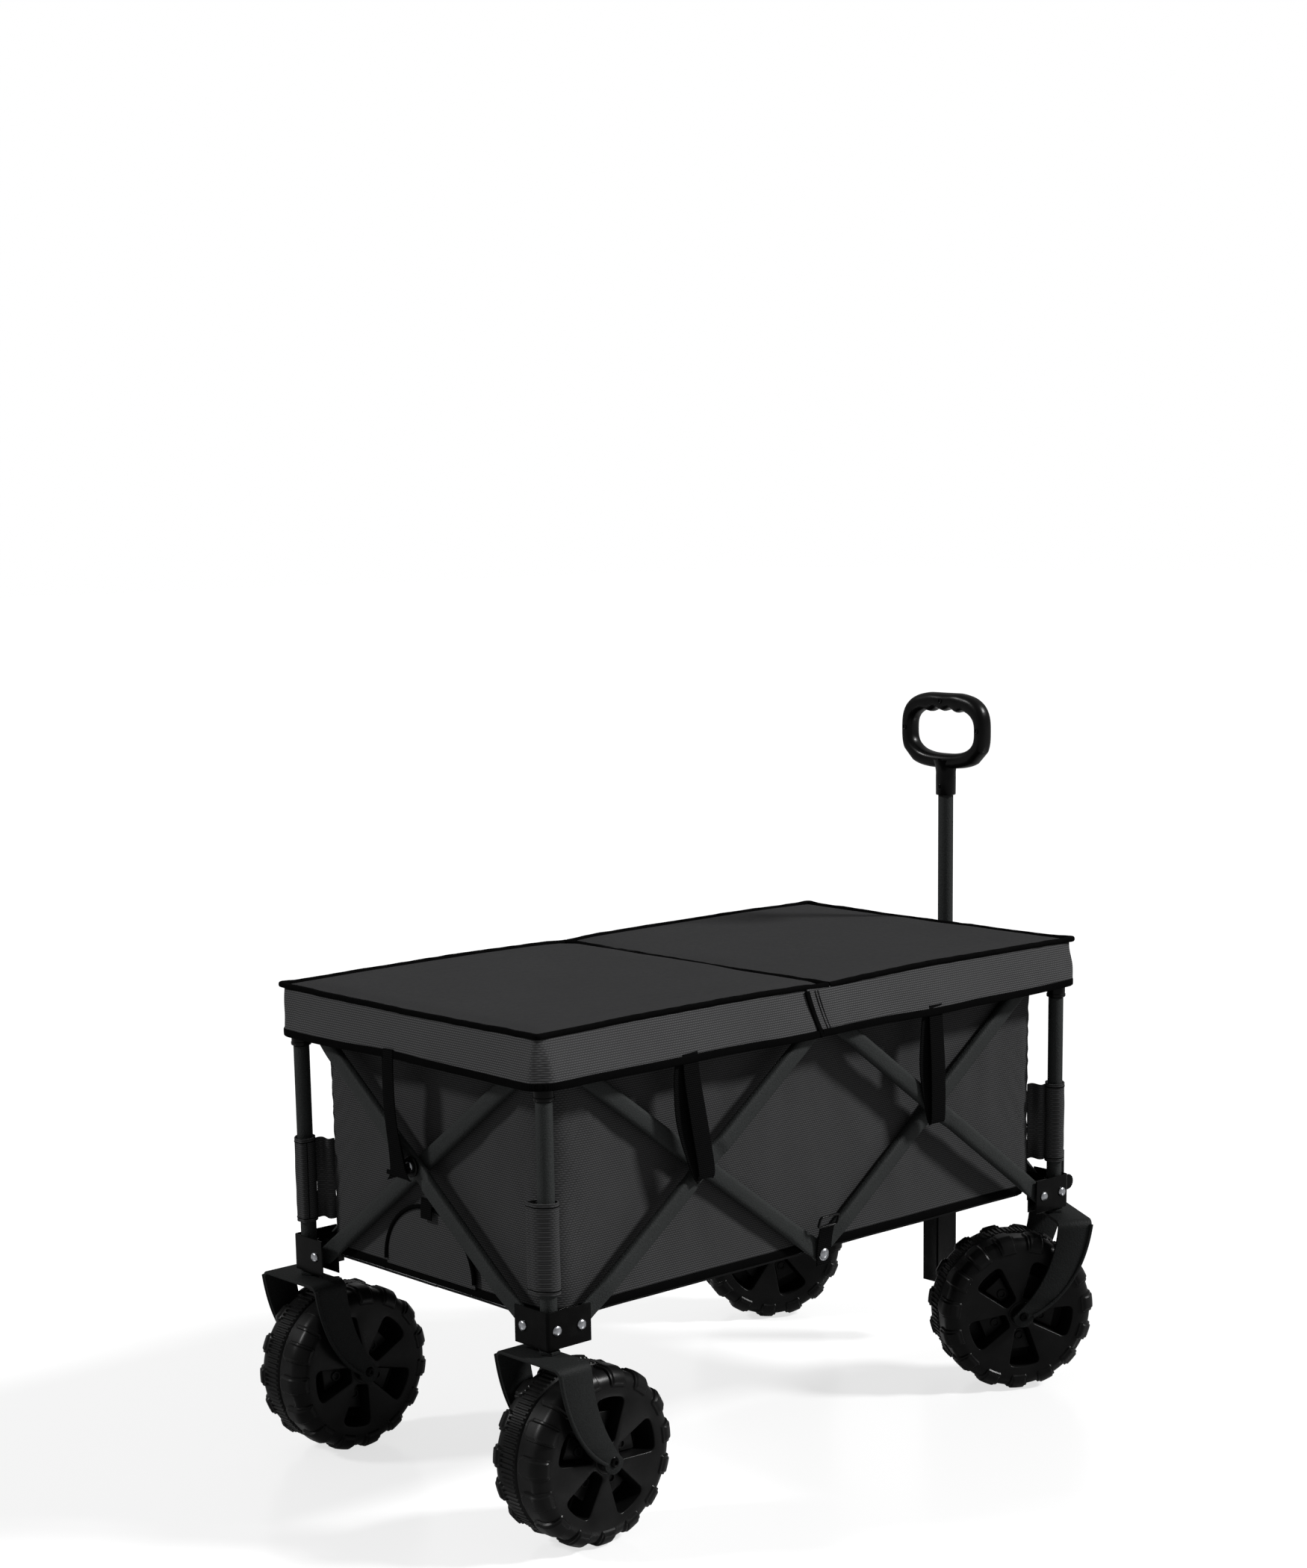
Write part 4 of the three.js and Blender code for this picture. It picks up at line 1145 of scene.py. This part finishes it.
def wall_grid(half_long, columns, seed):
    """A wall as a grid of (along, inwards, up) from its plane, which curves in at both ends."""
    straight = half_long - TUB_CORNER
    lengths = np.linspace(-1, 1, columns) * (straight + TUB_CORNER * math.pi / 4)
    turn = np.maximum(np.abs(lengths) - straight, 0) / TUB_CORNER
    along = np.sign(lengths) * (np.minimum(np.abs(lengths), straight) + TUB_CORNER * np.sin(turn))
    height = np.linspace(0, 1, WALL_ROWS)[:, None]
    grid = grid_of(along, TUB_CORNER * (1 - np.cos(turn)), FOOT + (TUB_HIGH - FOOT) * height)
    centre_weight = 1 - (lengths / lengths[-1]) ** 4
    edges = np.sin(math.pi * height).clip(0) ** 0.6
    big = ripple(grid * [1, 0, 1], 7, seed)
    fine = ripple(grid * [1.6, 0, 0.7], 19, seed + 5)
    grid[:, :, 1] += edges * (SAG * (0.55 - 0.6 * big) * (0.4 + 0.6 * centre_weight) + 0.0016 * fine)
    # the cloth is pulled towards the posts, and creases slantwise there
    near_end = smoothstep(0.10, 0.025, half_long - np.abs(grid[:, :, 0]))
    slant = grid[:, :, 2] * 105 + np.abs(grid[:, :, 0]) * 150 + 5 * ripple(grid, 9, seed + 8)
    crease = np.abs(np.sin(slant)) ** 3
    grid[:, :, 1] += 0.0042 * near_end * edges * crease * (0.4 + 0.6 * np.abs(ripple(grid, 13, seed + 3)))
    return grid


def wall(side, body, foot_body, half_long, out, seed):
    """One wall of the tub: cloth outside, silver liner inside, a bound foot and a rolled rim.

    Between them lies the lower part of the wall, which stays with the foot of the frame. It hides the floor
    as the top rises away from it in a fold.
    """
    name = f"tub_{side}_wall"
    columns = 121 if side in HANDS else 69
    grid = wall_grid(half_long, columns, seed)

    def layer(part, finish, layer_body, inward, thick, rows=slice(1, WALL_ROWS), replaces=()):
        points = grid[rows] * [1, -1, 1] + [0, out - inward, 0]
        shape = on_side(side, thick_sheet(points, thick))
        return make(f"{name}_{part}", shape, finish, layer_body, replaces)

    def edging(part, edge_body, row, inward, z, outline):
        path = np.column_stack([grid[row, :, 0], out - grid[row, :, 1] - inward, np.full(columns, z)])
        return make(f"{name}_{part}", on_side(side, swept(path, outline)), BINDING, edge_body)

    cloth = layer("cloth", TUB_CLOTH, body, CLOTH / 2 + 0.0012, CLOTH, slice(None), [name])
    liner = layer("liner", LINER, body, CLOTH + 0.0032, LINING)
    binding = edging("binding", foot_body, 0, 0.0023, FOOT + 0.0045, oval(0.0024, 0.0052, 3.5, 16))
    rim = edging("rim", body, -1, 0.0035, TUB_HIGH + 0.0005, oval(0.0034, 0.0034, 2.4, 14))
    lower = layer("lower", TUB_CLOTH, foot_body, CLOTH + 0.0019, 0.0010, slice(1, LOWER_ROWS + 2))
    return [cloth, liner, binding, lower, rim]


for side, seed in (("right", 3), ("left", 11)):
    for piece in wall(side, f"mid_top_{side}", f"mid_bottom_{side}", TUB_X, TUB_Y - POST_Y, seed):
        shortens(piece)
for side, seed in (("rear", 23), ("front", 31)):
    for piece in wall(side, f"{side}_right_top", f"{side}_right_corner", TUB_Y, TUB_X - POST_X, seed):
        narrows(piece)


def floor_half(hand, s):
    """Half of the tub's floor, with a straight edge down the middle and rounded outer corners."""
    node = f"tub_{hand}_floor"
    low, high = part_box(node)
    wide = TUB_Y - 0.009
    x = np.linspace(low.x - MIDDLE.x, high.x - MIDDLE.x, 61)
    y = np.linspace(0.0008, wide, 21)[:, None]
    over = np.maximum(np.abs(x) - (TUB_X - TUB_CORNER), 0)
    limit = wide - TUB_CORNER + np.sqrt(np.maximum(TUB_CORNER**2 - over**2, 0))
    grid = grid_of(x, s * np.minimum(y, limit), low.z + 0.005)
    grid[:, :, 2] += 0.0006 * ripple(grid, 14, 40 + s)
    body, flat = f"floor_{hand}", (x[-1] - x[0], wide)
    cloth = make(f"{node}_cloth", thick_sheet(grid, 0.0024), FLOOR_CLOTH, body, [node])
    liner = make(f"{node}_liner", thick_sheet(grid + [0, 0, 0.0022], LINING), LINER, body)
    shortens(cloth)
    shortens(liner)


floor_half("right", -1)
floor_half("left", 1)


def webbing(path, width, thick, flare=(1,)):
    """A flat strap along a path of points, smoothed between them. flare is its relative widths along it."""
    steps = 40
    outline = oval(thick / 2, width / 2, 6, 20)
    widths = np.interp(np.linspace(0, 1, steps), np.linspace(0, 1, len(flare)), flare)
    return swept(spline(path, steps), lambda i: outline * [1, widths[i]], up=(1, 0, 0))


def flap():
    """The half-round flap low on the rear wall, with its piping and a short pull tab."""
    half, low, high = 0.082, 0.264, 0.345
    body, out, tall = "rear_right_top", TUB_X - POST_X, high - low
    angles = np.linspace(0, math.pi, 41)
    edge_x, edge_z = half * np.cos(angles), low + 0.006 + (tall - 0.006) * np.sin(angles)
    z = low + (edge_z - low) * np.linspace(0, 1, 15)[:, None]
    lift = 0.0012 + 0.0012 * np.sin(math.pi * np.clip((z - low) / tall, 0, 1))
    shape = on_side("rear", thick_sheet(grid_of(edge_x, out + lift, z), 0.0016))
    cloth = make("rear_flap_cloth", shape, TUB_CLOTH, body, ["rear_flap"])
    piping = swept(grid_of(edge_x, out + 0.0032, edge_z), oval(0.0026, 0.0026, 2, 12), up=(0, 1, 0))
    pipe = make("rear_flap_piping", on_side("rear", piping), BINDING, body)
    path = [(0.004, out + y, high + z) for y, z in ((0.0065, 0.012), (0.008, 0.002), (0.0085, -0.012))]
    tab = make("rear_flap_tab", on_side("rear", webbing(path, 0.02, 0.0018)), WEBBING, body, smooth=35)
    for piece in (cloth, pipe, tab):
        narrows(piece)


flap()

# ---- Post sleeves ----

SLEEVE_LOW = 0.292
SLEEVE_HIGH = 0.394
SLEEVE_TALL = SLEEVE_HIGH - SLEEVE_LOW


def sleeve_outline():
    """The flattened pocket round a post, as (inwards X, inwards Y), with a doubled edge at its seam."""
    count = 56
    wide, deep = oval(0.0150, 0.0114, 2.5, count).T
    from_edge = (full_turn(count) + math.pi) % (2 * math.pi) - math.pi
    wide = wide + 0.0022 + 0.0045 * np.exp(-((from_edge / 0.24) ** 2))
    return np.stack([deep - wide, deep + wide], 1) / math.sqrt(2)


def sleeve(corner):
    """A cloth pocket round the post, stitched at both ends, and a folded gusset that ties it to the tub."""
    sx, sy = CORNERS[corner]
    body = f"{corner}_corner"
    outline = sleeve_outline()
    grid = np.array([at_height(outline, z) for z in np.linspace(SLEEVE_LOW, SLEEVE_HIGH, 25)])
    radial = grid * [1, 1, 0]
    radial /= np.linalg.norm(radial, axis=2, keepdims=True)
    grid += radial * (0.0007 * ripple(grid, 48, 7 + sx + 2 * sy))[:, :, None]
    grid[:, :, 2] += 0.0012 * ripple(grid, 30, 3 + sx)
    thread = oval(0.0004, 0.0006, 2, 8)
    threads = [swept(grid[row] + radial[row] * 0.0009, thread, closed=True) for row in (1, -2)]
    threads.append(swept(grid[1:-1, 3] + radial[12, 3] * 0.0010, thread, up=(1, 0, 0)))
    tube = at_corner(corner, thick_sheet(grid[:, ::-1], 0.0016, wrap=True))
    pocket_piece = make(f"{corner}_sleeve", tube, TUB_CLOTH, body)
    make(f"{corner}_sleeve_bands", at_corner(corner, together(*threads)), BINDING, body)
    z = np.linspace(SLEEVE_LOW + 0.002, SLEEVE_HIGH - 0.002, 21)[:, None]
    t = np.linspace(0, 1, 13)
    fold = 0.0045 * np.sin(2 * math.pi * t) * (0.6 + 0.4 * np.sin(z * 70))
    dip = 0.008 * t * (1 - np.abs(2 * (z - SLEEVE_LOW) / SLEEVE_TALL - 1))
    across = 0.0088 + 0.0157 * t
    shape = at_corner(corner, thick_sheet(grid_of(across + fold, across - fold, z - dip), 0.0018))
    gusset = make(f"{corner}_gusset", shape, TUB_CLOTH, body)


for corner in CORNERS:
    sleeve(corner)

# ---- Lid ----

SEAM_GAP = 0.0012
LID_CLOTH = 0.0016


def lid_rise(x, y):
    """How much higher the lid's edge runs than at its corners: it bows up, and dips at the seam."""
    bow = np.sin(math.pi * np.clip(np.abs(x) / LID_X, 0, 1)) ** 0.8
    sag = 0.0010 * np.sin(math.pi * np.clip((y + LID_Y) / (2 * LID_Y), 0, 1))
    return 0.0024 * bow - 0.0012 * smoothstep(0.05, 0.0, np.abs(x)) - sag


def flattens(piece):
    """Gives a piece of the lid's cloth a mesh of its own."""
    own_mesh(piece)


def lid_panel(name, s):
    """Half of the lid's top: cloth over a thin stiff pad, crowned a little and softly dented."""
    x = np.linspace(SEAM_GAP, LID_X - 0.001, 61)
    y = np.linspace(0.001 - LID_Y, LID_Y - 0.001, 65)[:, None]
    top = grid_of(s * x, y, LID_TOP)
    soft = smoothstep(0, 0.03, LID_X - x) * smoothstep(0, 0.03, LID_Y - np.abs(y))
    crown = 0.0040 * soft + 0.0016 * smoothstep(0, 0.012, x - SEAM_GAP) - 0.0052 + lid_rise(x, y)
    waves = 0.0020 * ripple(top, 6, 50 + 9 * s) + 0.0007 * ripple(top, 17, 61 + s)
    top[:, :, 2] += crown + waves * (0.25 + 0.75 * soft)
    bottom = grid_of(s * x, y, LID_LOW + 0.0006)
    shape = (np.concatenate([top.reshape(-1, 3), bottom.reshape(-1, 3)]), thick_faces(*top.shape[:2]))
    piece = make(f"{name}_top", shape, SHADED_TOP_CLOTH, name, [f"{name}_panel"])
    flattens(piece)


def lid_path(s, x_out, y_out, radius, start=SEAM_GAP, per_side=40, per_end=36):
    """Round one half of the lid at that distance out, from the seam on the right to the seam on the left."""
    right = [(x, -y_out) for x in np.linspace(start, x_out - radius, per_side)]
    turn = quarter(10)[1:-1]
    right += [(x_out - radius + radius * math.sin(a), radius - y_out - radius * math.cos(a)) for a in turn]
    end = [(x_out, y) for y in np.linspace(radius - y_out, y_out - radius, per_end)]
    return np.array(right + end + [(x, -y) for x, y in right[::-1]]) * [s, 1]


def skirt_grid(s):
    """Half of the skirt from its top to its hem, flared a little and rounder at the hem. The front laps."""
    top, hem = LID_TOP - 0.0045, HEM_Z + 0.001
    grid = []
    for t in np.linspace(0, 1, 17):
        x_out = LID_X + 0.0006 + (HEM_X - 0.0012 - LID_X) * t**0.9
        y_out = LID_Y + 0.0006 + (HEM_Y - 0.0012 - LID_Y) * t**0.9
        start = -0.038 + 0.016 * t**1.5 if s > 0 else SEAM_GAP
        path = lid_path(s, x_out, y_out, 0.006 + 0.026 * t, start)
        if s > 0:
            path[:, 1] += np.sign(path[:, 1]) * 0.0024 * smoothstep(0.03, -0.005, path[:, 0])
        grid.append(np.column_stack([path, top + (hem - top) * t + (1 - t) * lid_rise(*path.T)]))
    grid = np.array(grid)
    t = np.linspace(0, 1, len(grid))[:, None]
    radial = grid[:, :, :2] / np.linalg.norm(grid[:, :, :2], axis=2, keepdims=True)
    wobble = ripple(grid, 11, 80 + 13 * s) * 0.0034 + ripple(grid, 34, 91 + s) * 0.0009
    grid[:, :, :2] += radial * (wobble * smoothstep(0.05, 0.7, t))[:, :, None]
    # small upright puckers fan out from each top corner
    x, y = np.abs(grid[:, :, 0]), np.abs(grid[:, :, 1])
    corner_gap = np.hypot(LID_X - x, LID_Y - y)
    fan = np.sin((x - y) * 210 + 4 * ripple(grid, 12, 33 + s))
    puckers = 0.0013 * fan * smoothstep(0.10, 0.02, corner_gap) * np.sin(math.pi * t)
    grid[:, :, :2] += radial * puckers[:, :, None]
    grid[:, :, 2] += 0.0022 * ripple(grid, 8, 5 + s) * t
    return grid


def lid_skirt(name, s):
    """The skirt of half of the lid, with its bound hem. The front one's lap is bound and stitched too."""
    grid = skirt_grid(s)
    skirt = make(f"{name}_skirt_cloth", thick_sheet(grid, LID_CLOTH), LIT_SKIRT_CLOTH, name, [f"{name}_skirt"])
    hem = [swept(grid[-1] + [0, 0, 0.0038], oval(0.0017, 0.0044, 4, 14))]
    if s > 0:
        for column, side in ((0, -1), (-1, 1)):
            edge = spline(grid[1:, column] + [0, side * 0.0003, 0], 30)
            hem.append(swept(edge, oval(0.0017, 0.0034, 4, 14), up=(1, 0, 0)))
            for away in (0.012, 0.0165):
                hem.append(swept(edge + [away, side * 0.0012, 0], oval(0.0004, 0.0005, 2, 8), up=(1, 0, 0)))
    bound = make(f"{name}_hem", together(*hem), BINDING, name)
    if s < 0:
        flattens(skirt)
        flattens(bound)


def lid_piping(name, s):
    """Piping round half of the lid's top, a little bumpy and standing out at the corners, and at the seam."""
    path = lid_path(s, LID_X + 0.0012, LID_Y + 0.0012, 0.005, per_side=70, per_end=60)
    to_corner = np.hypot(LID_X - np.abs(path[:, 0]), LID_Y - np.abs(path[:, 1]))
    nib = smoothstep(0.022, 0.002, to_corner)
    path = path + np.sign(path) * nib[:, None] * 0.0026
    path = np.column_stack([path, LID_TOP - 0.0036 + lid_rise(*path.T)])
    path[:, 2] += 0.0009 * ripple(path, 9, 70 + s) + 0.0006 * ripple(path, 60, 20 + s) + 0.0010 * nib
    seam = grid_of(s * (SEAM_GAP + 0.0012), np.linspace(-LID_Y, LID_Y, 90), LID_TOP - 0.0026)
    bumps = 0.0012 * ripple(seam, 7, 77 + s) + 0.0008 * ripple(seam, 45, 17 + s)
    seam[:, 2] += lid_rise(seam[:, 0], seam[:, 1]) + bumps
    shape = together(swept(path, oval(0.0032, 0.0034, 2.4, 14)), swept(seam, oval(0.0015, 0.0024, 2.4, 12)))
    flattens(make(f"{name}_piping", shape, BINDING, name))


LID_HALVES = (("lid_front", 1), ("lid_rear", -1))
for name, s in LID_HALVES:
    lid_panel(name, s)
for name, s in LID_HALVES:
    lid_skirt(name, s)
    lid_piping(name, s)

STRAP_WIDE = 0.025
STRAP_X = SIDE_SPAN / 2


def strap(name, body, side, along, lean, flare=(0.92, 0.96, 1, 1, 1)):
    """Two plies of webbing sewn under the hem, which meet in a point at the bottom where the loop is tied."""
    out = HEM_Y - POST_Y if side in HANDS else HEM_X - POST_X
    sewn, under, middle, low = HEM_Z + 0.012, HEM_Z - 0.02, (HEM_Z + STRAP_LOW) / 2, STRAP_LOW
    front = [(0, -0.0005, sewn), (0.1 * lean, 0.001, under), (0.45 * lean, 0.0025, middle),
             (lean, 0.0005, low + 0.012), (lean, -0.001, low)]
    back = [(-0.006, -0.0035, sewn), (-0.009, -0.0045, under), (0.3 * lean - 0.011, -0.0052, middle),
            (0.8 * lean - 0.003, -0.0045, low + 0.014), (lean - 0.001, -0.003, low + 0.001)]
    for label, path in (("front", front), ("back", back)):
        path = np.array(path) + [along, out, 0]
        shape = on_side(side, webbing(path, STRAP_WIDE, 0.0016, flare))
        piece = make(f"{name}_{label}_ply", shape, WEBBING, body)
        if body == "lid_rear":
            flattens(piece)


strap("strap_rear_right", "lid_rear", "right", -STRAP_X - 0.036, 0.022)
strap("strap_front_right", "lid_front", "right", STRAP_X - 0.022, 0.005)
strap("strap_rear_left", "lid_rear", "left", STRAP_X + 0.024, -0.014)
strap("strap_front_left", "lid_front", "left", -STRAP_X + 0.012, -0.006)
strap("strap_rear", "lid_rear", "rear", -0.020, 0.012, flare=(0.72, 0.7, 0.74, 1.1, 1.9))

# ---- Tabs at the middle rivets ----


def middle_tab(hand):
    """A short webbing tab behind the lower middle rivet, with a rectangular plastic ring at its top."""
    body, wide = f"mid_bottom_{hand}", 0.024
    path = [(0, 0.0008, -0.0135), (0, 0.0012, 0), (0, 0.0035, 0.02), (-0.001, 0.0085, 0.037)]
    shape = on_side(hand, webbing(np.array(path) + [0, 0, PIVOT_LOW], wide, 0.0018))
    tab = make(f"mid_tab_{hand}", shape, WEBBING, body)
    x, z = rounded_rectangle(0.0155, 0.0065, 0.003, 5).T
    ring = grid_of(x - 0.001, 0.0095 + (z + 0.003) * 0.35, PIVOT_LOW + 0.042 + z)
    ring = swept(ring, oval(0.0014, 0.0017, 2.2, 10), up=(0, 1, 0), closed=True)
    make(f"mid_ring_{hand}", on_side(hand, ring), GRIP_BLACK, body, smooth=60)


for hand in HANDS:
    middle_tab(hand)

# ---- Stage, light and camera ----

WHITE = (1, 1, 1)
FLOOR_REACH = 30
FLOOR_SEEN, FLOOR_LIT = 0.7, 0.08
SURROUND_SEEN, SURROUND_LIT = 1.0, 0.3


def link(name, data):
    """A new object in the scene."""
    made = bpy.data.objects.new(name, data)
    bpy.context.scene.collection.objects.link(made)
    return made


def stage():
    mesh = bpy.data.meshes.new("floor")
    corners = [(x * FLOOR_REACH, y * FLOOR_REACH, 0) for x, y in ((-1, -1), (1, -1), (1, 1), (-1, 1))]
    mesh.from_pydata(corners, [], [(0, 1, 2, 3)])
    look = Look("floor", shade(0.3), 0.22, specular_ior_level=0.35)
    look.set("Emission Color", WHITE)
    look.set("Emission Strength", seen_or_lit(look.tree, FLOOR_SEEN, FLOOR_LIT))
    mesh.materials.append(look.material)
    link("floor", mesh)


def seen_or_lit(tree, seen, lit):
    """A strength that is one value where it is seen and a lower one where it lights the wagon."""
    path = tree.nodes.new("ShaderNodeLightPath").outputs["Is Camera Ray"]
    strength = tree.nodes.new("ShaderNodeMapRange")
    tree.links.new(path, strength.inputs["Value"])
    strength.inputs["To Min"].default_value = lit
    strength.inputs["To Max"].default_value = seen
    return strength.outputs["Result"]


def studio():
    """A white surround. It lights the wagon less than it shows, so that dark plastic stays dark."""
    world = bpy.data.worlds.new("studio")
    bpy.context.scene.world = world
    world.use_nodes = True
    background = world.node_tree.nodes["Background"]
    background.inputs["Color"].default_value = (*WHITE, 1)
    strength = seen_or_lit(world.node_tree, SURROUND_SEEN, SURROUND_LIT)
    world.node_tree.links.new(strength, background.inputs["Strength"])


def towards(azimuth, elevation):
    """The direction of a light or camera from what it points at. At azimuth 0, in degrees, it is -Y."""
    a, e = math.radians(azimuth), math.radians(elevation)
    return Vector((math.sin(a) * math.cos(e), -math.cos(a) * math.cos(e), math.sin(e)))


def aimed(back):
    return (-back).to_track_quat("-Z", "Y")


def sun(name, azimuth, elevation, strength, spread):
    """A soft sun, with its angles in degrees."""
    data = bpy.data.lights.new(name, "SUN")
    data.energy = strength
    data.angle = math.radians(spread)
    link(name, data).rotation_euler = aimed(towards(azimuth, elevation)).to_euler()


def camera():
    """A long lens, low, from behind the wagon's right rear corner. The wagon stands low in the frame."""
    azimuth, elevation, distance = -42.0, 13.475, 3.37
    roll, pitch = math.radians(-0.94), math.radians(2.764)
    target = Vector((-0.0666, 0.0, 0.35)) + MIDDLE
    data = bpy.data.cameras.new("camera")
    data.sensor_fit = "HORIZONTAL"
    data.sensor_width = 36
    data.lens = 75.7
    data.shift_y = 0.18
    data.clip_end = 100
    lens = link("camera", data)
    back = towards(azimuth, elevation)
    lens.location = target + back * distance
    lens.rotation_mode = "QUATERNION"
    turn = Matrix.Rotation(roll, 3, "Z") @ Matrix.Rotation(pitch, 3, "X")
    lens.rotation_quaternion = aimed(back) @ turn.to_quaternion()
    bpy.context.scene.camera = lens


stage()
studio()
sun("key", 44, 38, 4.2, 9)
sun("second", -126, 36, 2.0, 9)
camera()
bpy.context.scene.view_settings.view_transform = "Standard"
